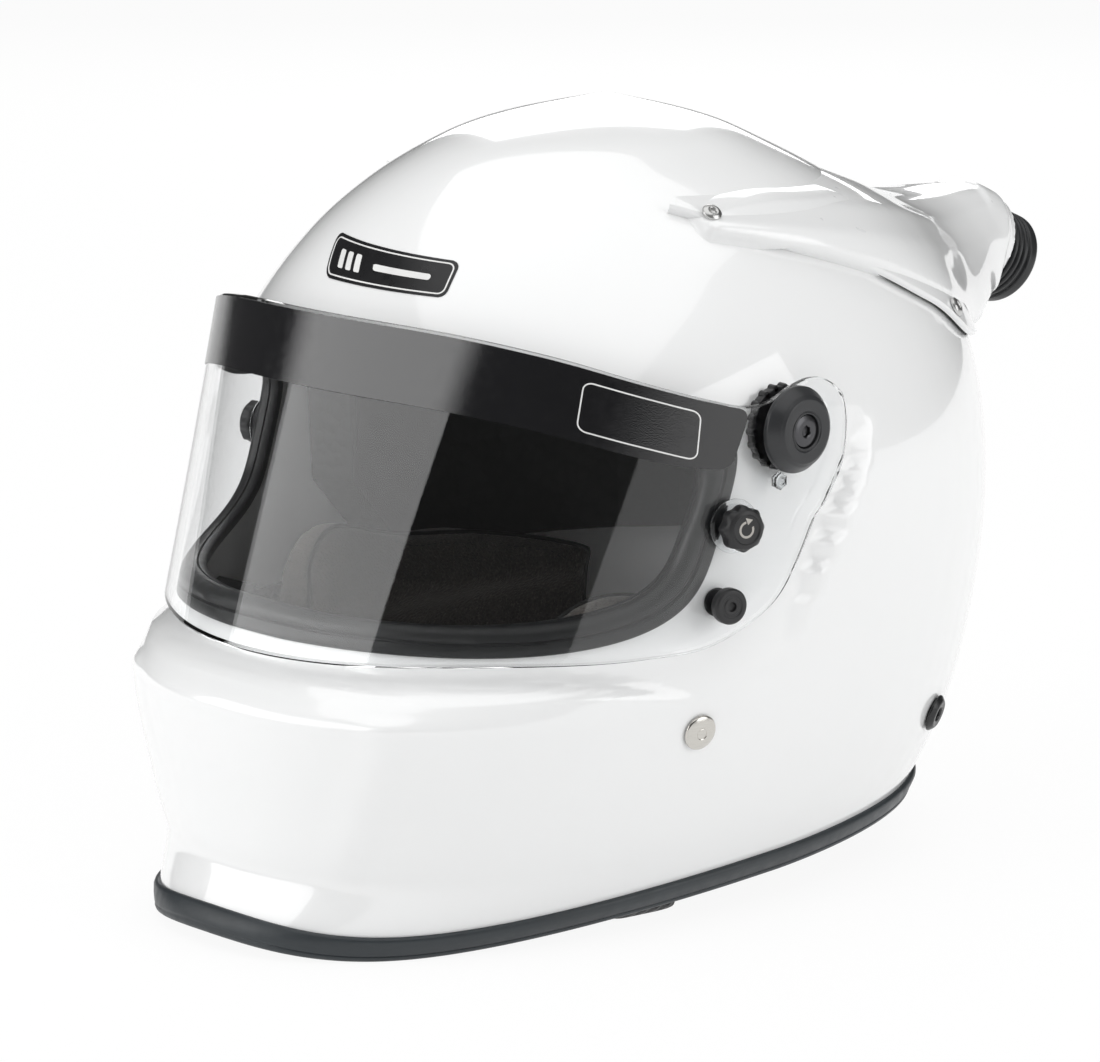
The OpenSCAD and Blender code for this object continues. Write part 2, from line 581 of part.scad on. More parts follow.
// Pivots
module on_pivot(x) { translate([x, pivot_y, pivot_z]) rotate([0, 90, 0]) children(); }
cap_x = visor_half + turn_gap;
module pivot_base() {
    plate_t = visor_x(-pivot_fwd - ratchet_r, pivot_z, -visor_t) - turn_gap - pivot_floor - fit;
    teeth = 18;
    color("black") on_pivot(pivot_floor + fit) difference() {
        union() {
            cylinder(r = ratchet_r - 0.9, h = plate_t);
            cylinder(r = boss_r, h = cap_x - fit - pivot_floor - fit);
            for (k = [0 : teeth - 1]) rotate(k * 360 / teeth) translate([ratchet_r - 1.2, 0, plate_t / 2])
                cube([2.2, 2.2, plate_t], center = true);
        }
        translate([0, 0, -1]) cylinder(r = pivot_screw_r + fit, h = 20);
    }
}
module pivot_cap() {
    color("black") on_pivot(cap_x) difference() {
        rotate_extrude() polygon([[0, 0], [cap_r - 0.6, 0], [cap_r, 0.6], [cap_r, cap_t * 0.35],
                                  [cap_r - 2.6, cap_t - 0.6], [cap_r - 3.4, cap_t], [0, cap_t]]);
        translate([0, 0, -1]) cylinder(r = pivot_screw_r + fit, h = cap_t + 2);
        translate([0, 0, cap_t - screw_head_t - 0.4]) cylinder(r = screw_head_r + hole_gap, h = cap_t);
    }
}
module pivot_screw() {
    length = cap_x + cap_t - screw_head_t - pivot_floor + pivot_boss_t - 1;
    color("dimgray") on_pivot(cap_x + cap_t - 0.3) difference() {
        union() {
            translate([0, 0, -screw_head_t]) cylinder(r = screw_head_r, h = screw_head_t);
            translate([0, 0, -screw_head_t - length]) cylinder(r = pivot_screw_r, h = length + 0.5);
        }
        translate([0, 0, -1.8]) cylinder(r = 2, h = 3, $fn = 6);
    }
}
module pivot_base_left() { pivot_base(); }
module pivot_base_right() { mirror([1, 0, 0]) pivot_base(); }
module pivot_cap_left() { pivot_cap(); }
module pivot_cap_right() { mirror([1, 0, 0]) pivot_cap(); }
module pivot_screw_left() { pivot_screw(); }
module pivot_screw_right() { mirror([1, 0, 0]) pivot_screw(); }

// Tear-off posts: stud through the visor, clear washer and turning knob
module tear_off_stud() {
    color("silver") along(post_p, post_n) union() {
        translate([0, 0, -visor_t]) cylinder(r = stud_head_r, h = stud_head_t);
        translate([0, 0, -visor_t]) cylinder(r = stud_r, h = visor_t + washer_t + knob_h * 0.6);
    }
}
module tear_off_washer() {
    color([0.9, 0.95, 1, 0.4]) along(post_p, post_n) difference() {
        translate([0, 0, 0.35]) cylinder(r = knob_r + 1, h = washer_t - 0.35);
        translate([0, 0, -1]) cylinder(r = stud_r + fit, h = 4);
    }
}
module tear_off_knob() {
    lobes = 8;
    color("black") along(post_p, post_n) translate([0, 0, washer_t + fit]) difference() {
        union() {
            cylinder(r = knob_r - 1, h = knob_h);
            for (k = [0 : lobes - 1]) rotate(k * 360 / lobes) translate([knob_r - 2, 0, knob_h * 0.3])
                cylinder(r = 2, h = knob_h * 0.6);
        }
        translate([0, 0, -1]) cylinder(r = stud_r + fit, h = knob_h * 0.6 + 1.5);
    }
}
module tear_off_stud_left() { tear_off_stud(); }
module tear_off_stud_right() { mirror([1, 0, 0]) tear_off_stud(); }
module tear_off_washer_left() { tear_off_washer(); }
module tear_off_washer_right() { mirror([1, 0, 0]) tear_off_washer(); }
module tear_off_knob_left() { tear_off_knob(); }
module tear_off_knob_right() { mirror([1, 0, 0]) tear_off_knob(); }

// Lock button, which is pressed in through the visor, and its strike on the shell
lock_seat = 1.1 - visor_t;
module lock_button() {
    under = lock_travel + 0.3;
    head_t = 4;
    color("black") along(lock_p, lock_n) difference() {
        union() {
            translate([0, 0, lock_seat - lock_flange_t])
                cylinder(r = lock_shank, h = under + 1 + lock_flange_t - lock_seat);
            translate([0, 0, lock_seat - lock_flange_t]) cylinder(r = lock_flange_r, h = lock_flange_t);
            translate([0, 0, under]) cylinder(r = lock_r, h = head_t);
        }
        translate([0, 0, under + head_t - 1.5]) cylinder(r = 1.6, h = 3, $fn = 6);
    }
}
module lock_strike() {
    color("black") along(lock_p, lock_n) difference() {
        translate([0, 0, -visor_t - port_gap + soft_gap]) cylinder(r = 5, h = 1);
        translate([0, 0, -visor_t - port_gap + soft_gap + 0.5]) cylinder(r = lock_shank + hole_gap, h = 2);
    }
}

// Strap rivets and their washers inside the shell, on the strap's inner face
washer_z = -shell_t - strap_gap - strap_t - 0.6 - 1;
module strap_rivet() {
    color("silver") along(rivet_p, rivet_n) {
        translate([0, 0, washer_z - 0.5]) cylinder(r = rivet_shank, h = 1 - washer_z);
        translate([0, 0, 0.4]) rotate_extrude()
            polygon([[0, 0], [rivet_r, 0], [rivet_r, 1.2], [rivet_r - 0.6, 1.8], [0, 1.8]]);
    }
}
module rivet_washer() {
    color("silver") along(rivet_p, rivet_n) translate([0, 0, washer_z]) difference() {
        cylinder(r = rivet_r - 0.5, h = 1);
        translate([0, 0, -1]) cylinder(r = rivet_shank + fit, h = 3);
    }
}
module strap_rivet_left() { strap_rivet(); }
module strap_rivet_right() { mirror([1, 0, 0]) strap_rivet(); }
module rivet_washer_left() { rivet_washer(); }
module rivet_washer_right() { mirror([1, 0, 0]) rivet_washer(); }

// Tether anchors with a tapped hole
module tether_anchor() {
    barrel = anchor_r - 1.5;
    color("dimgray") along(anchor_p, anchor_n) difference() {
        rotate_extrude() polygon([[anchor_hole_r, 3 - anchor_len], [barrel, 3 - anchor_len],
                                  [barrel, 0.6], [anchor_r, 0.6], [anchor_r, 1.4],
                                  [anchor_r - 1.8, 3], [anchor_hole_r, 3]]);
    }
}
module tether_anchor_left() { tether_anchor(); }
module tether_anchor_right() { mirror([1, 0, 0]) tether_anchor(); }

// Chin strap: down inside the shell, under the cheek pad and up on the pad's inside
strap_n = unit([rivet_n.x, rivet_n.y, 0]);
strap_side = [-strap_n.y, strap_n.x, 0];
strap_foot = skin(rivet_angle, edge_z(rivet_angle) + 2);
strap_rise = shell_t + 6.5 + cheek_t + soft_gap + strap_t;
strap_low = strap_t / 2 + 1.5;
loop_r = ring_wire + 0.8 + strap_t / 2;
loop_z = 40;
function strap_at(d, z) = [strap_foot.x - strap_n.x * d, strap_foot.y - strap_n.y * d, z];
function loop_at(a) = strap_at(strap_rise + loop_r + cos(a) * loop_r, loop_z + sin(a) * loop_r);
function strap_wall(z, d) = skin(rivet_angle, z, -d - strap_t / 2);
strap_down = concat([for (z = [rivet_z + 12, rivet_z, 62, 48, 34]) strap_wall(z, shell_t + strap_gap)],
                    [for (z = [24, 17, 9]) strap_wall(z, shell_t + trim_t + 1)]);
strap_under = [for (q = [[8.6, 4.5], [11, strap_low], [20, strap_low], [32, strap_low],
                         [strap_rise - 3, strap_low], [strap_rise - 0.6, 5], [strap_rise, 8]])
    strap_at(q[0], q[1])];
module strap(points) {
    m = len(points);
    sweep([for (k = [0 : m - 1])
        let (t = unit(points[min(k + 1, m - 1)] - points[max(k - 1, 0)]), u = cross(t, strap_side))
        [for (c = [[-1, -1], [-1, 1], [1, 1], [1, -1]])
            points[k] + strap_side * c[0] * strap_w / 2 + u * c[1] * strap_t / 2]], closed = false);
}
module rivet_eye() {
    along(rivet_p, rivet_n) translate([0, 0, -14]) cylinder(r = rivet_shank + hole_gap, h = 16);
}
module chin_strap_left() {
    turn = [for (a = [180 : -20 : -100]) loop_at(a)];
    color("black") difference() {
        strap(concat(strap_down, strap_under, [strap_at(strap_rise, 22)], turn));
        rivet_eye();
    }
}
module chin_strap_right() {
    up = [for (z = [30, 52, 74]) strap_at(strap_rise, z)];
    color("black") mirror([1, 0, 0]) difference() {
        strap(concat(strap_down, strap_under, up));
        rivet_eye();
    }
}
// Loop of the left strap: its axis lies along the strap's width
module on_loop() {
    translate(strap_at(strap_rise + loop_r, loop_z))
        rotate([0, 90, atan2(strap_side.y, strap_side.x)]) children();
}
module d_ring(side) {
    r = strap_w / 2 + ring_wire / 2 + 2;
    wire = ring_wire / 2 - 0.1;
    color("silver") on_loop() translate([0, side * ring_wire / 2, 0]) {
        cylinder(r = wire, h = 2 * r, center = true);
        rotate([-90, 0, 0]) rotate([0, 0, -90]) rotate_extrude(angle = 180)
            translate([r, 0]) circle(r = wire, $fn = 24);
    }
}
module d_ring_inner() { d_ring(-1); }
module d_ring_outer() { d_ring(1); }

// Air duct: stations behind the ear line of its upper edge, its foot on the shell, its top and its floor
DUCT_EDGE_X = [[-20, 80.5], [-6, 86.8], [10, 91.5], [35, 94.3], [62, 93], [100, 80], [125, 66], [160, 44],
               [178, 33], [205, 19.5]];
DUCT_EDGE_Z = [[-20, 246], [-6, 244], [10, 241.5], [35, 237.5], [62, 232.5], [100, 224.5], [125, 219],
               [160, 213.5], [178, 213], [205, 212]];
DUCT_FOOT_X = [[-20, 84], [-6, 90], [10, 94.5], [35, 98], [62, 97], [100, 90], [140, 62], [178, 34],
               [205, 22]];
DUCT_FOOT_Z = [[-20, 242.5], [-6, 238], [10, 232.5], [35, 225], [62, 216], [100, 202.5], [140, 187],
               [178, 191], [205, 200]];
DUCT_TOP_Z = [[-20, 254], [10, 254], [35, 253.5], [62, 252.5], [100, 246], [140, 235], [178, 229.5],
              [205, 227.5]];
DUCT_FLOOR_Z = [[-20, 236], [10, 228], [35, 205], [62, 192], [100, 184], [140, 182], [178, 184], [205, 188]];
// Flange on the shell: lower and upper edge by angle from straight ahead
FLANGE_LOW = [[68, 248.5], [79, 242.5], [93, 235.5], [104, 227], [112, 218.5], [118, 211], [125, 203],
              [131, 193], [142, 187], [160, 182], [180, 180]];
FLANGE_TOP = [[68, 250], [76, 252.5], [90, 254], [110, 252], [180, 248]];
flange_t = 2.2;
port_p = [0, duct_reach + ear_y, port_z];
port_n = [0, cos(nozzle_dip), -sin(nozzle_dip)];
port_up = [0, sin(nozzle_dip), cos(nozzle_dip)];
collar = 6;
function duct_half(y, t) =
    let (ex = reach(DUCT_EDGE_X, y) - t, ez = reach(DUCT_EDGE_Z, y) - t * 0.5,
         fx = reach(DUCT_FOOT_X, y) - t, fz = reach(DUCT_FOOT_Z, y),
         top = reach(DUCT_TOP_Z, y) - t, low = reach(DUCT_FLOOR_Z, y) + t)
    [[0, top], [ex * 0.5, top - 0.1 * (top - ez)], [ex * 0.85, ez + 0.45 * (top - ez)], [ex, ez],
     [(ex + fx) / 2 + 1, (ez + fz) / 2], [fx, fz], [fx * 0.7, low + 0.2 * (fz - low)], [0, low]];
port_angles = [90, 62, 40, 22, 2, -20, -52, -90];
function duct_ring(y, t) = let (h = duct_half(y, t)) concat(
    [for (q = h) [q[0], y + ear_y, q[1] * kz]],
    [for (k = [6 : -1 : 1]) [-h[k][0], y + ear_y, h[k][1] * kz]]);
function port_ring(s, r) = let (c = port_p + port_n * s) concat(
    [for (a = port_angles) c + [cos(a) * r, 0, 0] + port_up * sin(a) * r],
    [for (k = [6 : -1 : 1]) let (a = port_angles[k]) c - [cos(a) * r, 0, 0] + port_up * sin(a) * r]);
function flipped(r) = [for (k = [len(r) - 1 : -1 : 0]) r[k]];
module duct_body(t, s) {
    ys = [-16, 0, 16, 36, 58, 80, 102, 124, 148, 170, 188];
    rings = concat([for (y = ys) duct_ring(y, t)],
                   [port_ring(-collar - 8, port_r - t), port_ring(s, port_r - t)]);
    sweep([for (r = rings) flipped(r)], closed = false);
}
module flange_plate(o0, o1, in_low, high) {
    a0 = 68 + in_low * 0.6;
    angles = concat([a0],
                    [for (i = [0 : columns - 1]) if (abs(column(i) - 180) < 178 - a0) column(i)],
                    [360 - a0]);
    function low(a) = reach(FLANGE_LOW, fold(a)) * kz + in_low;
    function crest(a) = reach(FLANGE_TOP, fold(a)) * kz;
    function top(a) = high > 0 ? min(low(a) + high, crest(a)) : crest(a);
    rows = high > 0 ? 1 : 3;
    slab([for (j = [0 : rows]) [for (a = angles) skin(a, low(a) + (top(a) - low(a)) * j / rows, o1)]],
         [for (j = [0 : rows]) [for (a = angles) skin(a, low(a) + (top(a) - low(a)) * j / rows, o0)]]);
}
module crown_core(off) {
    rows = [for (r = ROWS) if (r > 140) r];
    heart = [0, ear_y, 100];
    outer = [for (r = rows) shell_row(r, off)];
    dome(outer, [for (r = outer) [for (p = r) heart + (p - heart) * 0.3]],
         crown(off), heart + (crown(0) - heart) * 0.3);
}
module air_duct() {
    color("white") difference() {
        union() {
            duct_body(0, 0);
            flange_plate(duct_gap - 1, duct_gap + flange_t, 0, 0);
        }
        duct_body(duct_t, 2);
        along(port_p, port_n) drill(nozzle_r, -collar - 3, 3);
        crown_core(duct_gap);
        both() for (d = DUCT_SCREWS) along(skin(d[0], d[1] * kz), outward(d[0], d[1] * kz)) {
            drill(duct_shank + hole_gap, -2, 12);
            drill(duct_screw_r + 1, duct_gap + flange_t + 0.1, 22);
        }
    }
}
module duct_seal() {
    color("dimgray") difference() {
        flange_plate(soft_gap + 2 * fit, duct_gap - soft_gap - fit, 1.5, 8);
        both() for (d = DUCT_SCREWS) along(skin(d[0], d[1] * kz), outward(d[0], d[1] * kz))
            drill(duct_shank + hole_gap, -2, 6);
    }
}
module duct_screws() {
    color("silver") both() for (d = DUCT_SCREWS)
    along(skin(d[0], d[1] * kz), outward(d[0], d[1] * kz)) difference() {
        union() {
            translate([0, 0, -shell_t]) cylinder(r = duct_shank, h = shell_t + duct_gap + flange_t + 1);
            translate([0, 0, duct_gap + flange_t + 0.15]) cylinder(r = duct_screw_r, h = 1.6);
        }
        translate([0, 0, duct_gap + flange_t + 0.6]) cylinder(r = 1.1, h = 3, $fn = 6);
    }
}
module hose_nozzle() {
    ribs = 4;
    groove = 1.3;
    pitch = (nozzle_len - 6) / ribs;
    seat_r = port_r - duct_t - hole_gap;
    color("black") along(port_p, port_n) difference() {
        union() {
            translate([0, 0, -collar - 2]) cylinder(r = seat_r, h = collar + 2.2);
            translate([0, 0, 0.2]) cylinder(r = nozzle_r - groove, h = nozzle_len - 1);
            for (k = [0 : ribs - 1]) translate([0, 0, 0.2 + k * pitch])
                cylinder(r = nozzle_r, h = pitch * 0.6);
            translate([0, 0, nozzle_len - 5]) cylinder(r = nozzle_r, h = 5);
        }
        translate([0, 0, -collar - 4]) cylinder(r = nozzle_r - nozzle_wall, h = nozzle_len + collar + 8);
    }
}

outer_shell();
edge_trim();
eyeport_gasket();
crown_liner();
chin_liner();
crown_pad();
brow_pad();
cheek_pad_left();
cheek_pad_right();
chin_pad();
neck_roll();
visor_lens();
visor_strip();
pivot_base_left();
pivot_base_right();
pivot_cap_left();
pivot_cap_right();
pivot_screw_left();
pivot_screw_right();
tear_off_stud_left();
tear_off_stud_right();
tear_off_washer_left();
tear_off_washer_right();
tear_off_knob_left();
tear_off_knob_right();
lock_button();
lock_strike();
strap_rivet_left();
strap_rivet_right();
rivet_washer_left();
rivet_washer_right();
tether_anchor_left();
tether_anchor_right();
chin_strap_left();
chin_strap_right();
d_ring_inner();
d_ring_outer();
air_duct();
duct_seal();
duct_screws();
hose_nozzle();
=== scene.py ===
import math

import bmesh
import bpy
import numpy as np
from mathutils import Matrix, Vector


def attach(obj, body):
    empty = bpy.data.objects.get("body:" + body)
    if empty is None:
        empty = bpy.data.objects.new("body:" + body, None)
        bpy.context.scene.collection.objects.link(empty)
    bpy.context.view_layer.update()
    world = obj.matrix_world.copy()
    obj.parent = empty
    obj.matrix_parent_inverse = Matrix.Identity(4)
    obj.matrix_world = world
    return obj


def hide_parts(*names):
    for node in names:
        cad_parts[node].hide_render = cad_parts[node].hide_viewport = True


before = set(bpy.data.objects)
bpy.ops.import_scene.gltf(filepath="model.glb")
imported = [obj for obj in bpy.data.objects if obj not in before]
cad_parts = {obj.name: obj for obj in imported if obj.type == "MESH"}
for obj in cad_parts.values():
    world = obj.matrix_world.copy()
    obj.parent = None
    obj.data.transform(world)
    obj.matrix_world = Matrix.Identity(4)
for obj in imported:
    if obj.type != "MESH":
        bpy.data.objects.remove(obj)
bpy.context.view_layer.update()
MM = 0.001

# ---- The helmet's curves, in millimetres, as the part's source draws them
SHELL_H, HALF, SHELL_T = 281, 129, 3
PORT_ANGLE, PORT_LOW, PORT_HIGH, PORT_SQUARE, PORT_REACH = 70, 112, 201, 4.6, 44
VISOR_T, PORT_GAP = 3, 3.2
VISOR_LOW_Z, VISOR_HIGH_Z, STRIP_DEPTH = 102, 217, 24
PIVOT_Z, PIVOT_FWD, CAP_R, CAP_T = 180, 22.5, 15.2, 7
TRIM_T = 2
DUCT_REACH, PORT_Z, NOZZLE_R, NOZZLE_LEN, DIP = 217.5, 202.5, 18.25, 18, math.radians(25)
STEP = 0.25  # spacing of a curve's table
RECESS_STEP = 5.0  # width of the visor recess's slope
RIVET_AT, ANCHOR_AT = (75.5, 76), (121, 55)  # angle round the shell and height


def cosd(a):
    return np.cos(np.radians(a))


def sind(a):
    return np.sin(np.radians(a))


def blend(u):
    c = np.clip(u, 0, 1)
    return c * c * (3 - 2 * c)


def bell(reach, step, soft):
    """Smoothing weights with a sum of 1"""
    kernel = np.exp(-0.5 * (np.arange(-reach, reach + 1) * step / soft) ** 2)
    return kernel / kernel.sum()


def run_along(p):
    """Length run at each point of a path"""
    return np.concatenate([[0], np.cumsum(np.linalg.norm(np.diff(p, axis=0), axis=1))])


def curve(stations, soft=0.0):
    """Smooth curve through stations, rounded over a length"""
    x, y = np.array(stations, float).T
    h = np.diff(x)
    d = np.diff(y) / h
    m = np.concatenate([d[:1], (d[:-1] * h[1:] + d[1:] * h[:-1]) / (h[:-1] + h[1:]), d[-1:]])
    grid = np.arange(x[0], x[-1] + STEP / 2, STEP)
    i = np.clip(np.searchsorted(x, grid, side="right") - 1, 0, len(h) - 1)
    u = (grid - x[i]) / h[i]
    v = ((2 * u**3 - 3 * u**2 + 1) * y[i] + (u**3 - 2 * u**2 + u) * h[i] * m[i]
         + (3 * u**2 - 2 * u**3) * y[i + 1] + (u**3 - u**2) * h[i] * m[i + 1])
    if soft:
        reach = int(3.5 * soft / STEP)
        v = np.convolve(np.pad(v, reach, mode="reflect", reflect_type="odd"), bell(reach, STEP, soft), "valid")
    return lambda q: np.interp(q, grid, v)


FRONT = [[-3, 181], [7, 179.5], [21, 172], [26.5, 169.2], [32, 169.3], [47, 170], [68, 172.3], [80, 173],
         [85.6, 172.7], [87.8, 171.2], [92, 167.1], [107, 152.5], [122, 147], [147, 141], [172, 134], [203, 121],
         [225, 108], [247, 87], [264, 60], [275, 30], [281, -15]]
front_crisp, front_soft = curve(FRONT, 0.8), curve(FRONT, 5)
rear = curve([[-3, 127], [17, 131], [47, 144], [82, 152], [117, 158], [157, 161], [189, 158], [222, 139],
              [245, 108], [263, 72], [275, 42], [281, 15]], 3)
side = curve([[-3, 86], [11, 98], [27, 106], [57, 116], [97, 124], [137, 129], [167, 127.5], [197, 119],
              [222, 103.5], [245, 83], [263, 58], [275, 32], [281, 1]], 3)
square = curve([[-3, 2.2], [87, 2.4], [147, 2.25], [217, 2.05], [281, 2]], 6)
edge = curve([[-30, 5], [0, 8], [40, 3], [80, 12], [110, 18], [150, 19], [180, 14], [210, 19]], 4)
recess_low = curve([[-165, 96], [-100, 96], [-76, 93], [-56, 88], [-40, 84], [-30, 85], [-18, 98], [-10, 119],
                    [4, 145], [16, 165], [22, 181]], 2)
recess_top = curve([[-165, 216], [-130, 216], [-97, 209], [-72, 202], [-50, 196], [-38, 193], [-22, 197],
                    [-8, 200], [4, 198], [14, 192], [22, 183]], 2)
visor_low = curve([[-165, 0], [-135, 2.6], [-80, 3.5], [-58, 5.2], [-45, 9.6], [-36, 14], [-28, 19.5], [-19, 31],
                   [-10, 45.5], [4, 66]], 1.5)
visor_top = curve([[-165, 0], [-130, 0], [-118, -1.5], [-97, -7.5], [-72, -17], [-50, -24.5], [-38, -27.5],
                   [-30, -26.5], [-22, -22.5], [-11, -20.5], [0, -25], [8, -33], [12, -41]], 2)


def front(z):
    return front_crisp(z) + (front_soft(z) - front_crisp(z)) * blend((z - 96) / 14)


def chin_ridge(a, z):
    """Soft upright edge beside the chin bar's flat front"""
    at = 23.7 + 5.5 * blend((z - 32) / 56)
    return 1.5 * np.exp(-(((fold(a) - at) / 4.2) ** 2)) * blend((z - 22) / 24) * blend((90 - z) / 5)


NOSE = 181.498
TAIL = DUCT_REACH + NOZZLE_LEN * math.cos(DIP) + NOZZLE_R * math.sin(DIP)
EAR_Y = (NOSE - TAIL) / 2
VISOR_FLAT, VISOR_SQUARE, VISOR_HALF = -12, 2.05, HALF + 1
CROWN_BACK = 15.0


def middle(z):
    return CROWN_BACK * blend((z / SHELL_H - 0.66) / 0.34)


def plain(a, z):
    e = 2 / square(z)
    c, s, m = cosd(a), sind(a), middle(z)
    y = np.where(c >= 0, -(front(z) + m), rear(z) - m) * np.abs(c) ** e
    return np.stack([side(z) * np.sign(s) * np.abs(s) ** e, m + y, z + 0 * y], -1)


def unit(v):
    return v / np.maximum(np.linalg.norm(v, axis=-1, keepdims=True), 1e-9)


def outward(a, z):
    z = np.minimum(z, SHELL_H - 1.5)
    return unit(np.cross(plain(a + 1, z) - plain(a - 1, z), plain(a, z + 1) - plain(a, z - 1)))


def visor_reach(z):
    lo, hi = VISOR_LOW_Z + 3, VISOR_HIGH_Z - 14
    f0, f1 = 154.31, 121.0
    return f0 + (z - lo) * (f1 - f0) / (hi - lo) + PORT_GAP + VISOR_T


def beyond_floor(p):
    deep = visor_reach(p[..., 2]) - VISOR_T - PORT_GAP + VISOR_FLAT
    d = np.maximum(0, VISOR_FLAT - p[..., 1])
    wide = np.abs(p[..., 0]) / (VISOR_HALF - VISOR_T - PORT_GAP)
    return (wide**VISOR_SQUARE + (d / deep) ** VISOR_SQUARE) ** (1 / VISOR_SQUARE)


def drawn_in(p, share):
    g = beyond_floor(p)
    k = np.where(g > 1, 1 + (1 / np.maximum(g, 1e-6) - 1) * share, 1)
    y = np.where(p[..., 1] > VISOR_FLAT, p[..., 1], VISOR_FLAT + (p[..., 1] - VISOR_FLAT) * k)
    return np.stack([p[..., 0] * k, y, p[..., 2]], -1)


def step_in(d):
    return blend(d / RECESS_STEP + 0.5)


def recess_depth(p):
    y, z = p[..., 1], p[..., 2]
    return step_in(z - recess_low(y)) * step_in(recess_top(y) - z) * step_in(22 - y)


def skin(a, z, off=0.0):
    p = plain(a, z)
    off = np.asarray(off, float)
    return drawn_in(p, recess_depth(p)) + outward(a, z) * (off + chin_ridge(a, z))[..., None] + [0, EAR_Y, 0]


def lined(a, z, off):
    p = plain(a, z)
    off = np.asarray(off, float)
    return drawn_in(p, blend((46 - p[..., 1]) / 30)) + outward(a, z) * off[..., None] + [0, EAR_Y, 0]


def fold(a):
    return np.abs((np.asarray(a, float) + 180) % 360 - 180)


def edge_z(a):
    return edge(fold(a))


def row_z(a, r):
    e = edge_z(a)
    return e + r * (1 - e / SHELL_H)


def port_level(f):
    """Middle height and half height of the eyeport at an angle from the front"""
    return (PORT_LOW + PORT_HIGH) / 2 - 8 * blend(f / 90), (PORT_HIGH - PORT_LOW) / 2 - 6 * blend(f / 90)


def port_norm(c, s):
    return (np.abs(c) ** PORT_SQUARE + np.abs(s) ** PORT_SQUARE) ** (1 / PORT_SQUARE)


def port_field(a, z):
    """Below 0 inside the eyeport, about in millimetres"""
    f = fold(a)
    mid, half = port_level(f)
    s = (z - mid) / half
    c = f / (PORT_ANGLE + 4 * np.clip(s, -1, 1))
    return (port_norm(c, s) - 1) * PORT_REACH


def port_point(t, grow):
    """Angle and height of the eyeport's outline, grown by a distance"""
    r = port_norm(cosd(t), sind(t))
    c, s = cosd(t) / r, sind(t) / r
    a = c * (PORT_ANGLE + 4 * s + grow * 180 / (3.1416 * HALF))
    mid, half = port_level(np.abs(a))
    return a, mid + s * (half + grow)


# ---- Meshes
def linked(name, data):
    ob = bpy.data.objects.new(name, data)
    bpy.context.scene.collection.objects.link(ob)
    return ob


def finished(name, verts, faces, mat, sharp=38, closed=True):
    """Mesh object from millimetres, unused points dropped and faces turned outwards"""
    verts = np.asarray(verts, float).reshape(-1, 3)
    sizes = np.array([len(f) for f in faces])
    flat = np.concatenate([np.asarray(f) for f in faces])
    used, flat = np.unique(flat, return_inverse=True)
    verts = verts[used] * MM
    ends = np.cumsum(sizes)
    faces = [flat[e - n:e].tolist() for e, n in zip(ends, sizes)]
    if closed:
        first = flat[ends - sizes]
        volume = 0.0
        for k in range(1, sizes.max() - 1):
            ok = sizes > k + 1
            at = (ends - sizes)[ok] + k
            volume += np.einsum("ij,ij->", verts[first[ok]], np.cross(verts[flat[at]], verts[flat[at + 1]]))
        if volume < 0:
            faces = [f[::-1] for f in faces]
    me = bpy.data.meshes.new(name)
    me.from_pydata(verts.tolist(), [], faces)
    me.validate()
    me.shade_smooth()
    if sharp:
        me.set_sharp_from_angle(angle=math.radians(sharp))
    me.materials.append(mat)
    return linked(name, me)


def grid_faces(m, n, wrap=False):
    j, i = np.meshgrid(np.arange(m - 1), np.arange(n if wrap else n - 1), indexing="ij")
    k = (i + 1) % n
    return np.stack([j * n + i, j * n + k, (j + 1) * n + k, (j + 1) * n + i], -1).reshape(-1, 4)


def thick(outer, inner, faces):
    """Points and faces of a wall between two sheets with the same faces"""
    n = len(outer)
    pairs = np.concatenate([np.stack([f, np.roll(f, -1, axis=1)], -1).reshape(-1, 2) for f in faces if len(f)])
    key, back = pairs[:, 0] * n + pairs[:, 1], pairs[:, 1] * n + pairs[:, 0]
    rim = pairs[~np.isin(key, back)]
    sides = np.stack([rim[:, 1], rim[:, 0], rim[:, 0] + n, rim[:, 1] + n], -1)
    out = []
    for f in faces:
        if len(f):
            out += f.tolist() + (f[:, ::-1] + n).tolist()
    return np.concatenate([outer, inner]), out + sides.tolist()


def trimmed(params, field, wrap=False):
    """Grid of parameters fitted to an outline: points beside it move onto it, faces below 0 go"""
    p = params.copy()
    f = field(p)
    best = np.full(f.shape, 9.0)
    shift = np.zeros_like(p)
    for axis, way in ((0, 1), (0, -1), (1, 1), (1, -1)):
        g, q = np.roll(f, -way, axis), np.roll(p, -way, axis)
        ok = np.ones(f.shape, bool)
        if not (axis == 1 and wrap):
            sel = [slice(None)] * 2
            sel[axis] = -1 if way == 1 else 0
            ok[tuple(sel)] = False
        ok &= f * g < 0
        ok &= np.abs(q - p).max(-1) < 90
        t = np.where(ok, f / np.where(ok, f - g, 1), 9)
        take = ok & (t <= 0.5) & (t < best)
        best = np.where(take, t, best)
        shift = np.where(take[..., None], (q - p) * t[..., None], shift)
    snapped = best < 9
    p += shift
    for _ in range(3):
        h = 0.05
        f0 = field(p)
        gx = (field(p + [h, 0]) - f0) / h
        gy = (field(p + [0, h]) - f0) / h
        k = np.where(snapped, f0 / np.maximum(gx * gx + gy * gy, 1e-9), 0)
        p += np.stack([-k * gx, -k * gy], -1)
    sign = np.where(snapped, 0, np.sign(f)).ravel()
    quads = grid_faces(*f.shape, wrap)
    s = sign[quads]
    keep = (s >= 0).all(1) & (s > 0).any(1)
    mixed = (s < 0).any(1) & (s > 0).any(1)
    tris = []
    for q, c in zip(quads[mixed], s[mixed]):
        k = int(np.argmin(c))
        tris.append([q[(k + 1) % 4], q[(k + 2) % 4], q[(k + 3) % 4]])
    return p, quads[keep], np.array(tris, int).reshape(-1, 3)


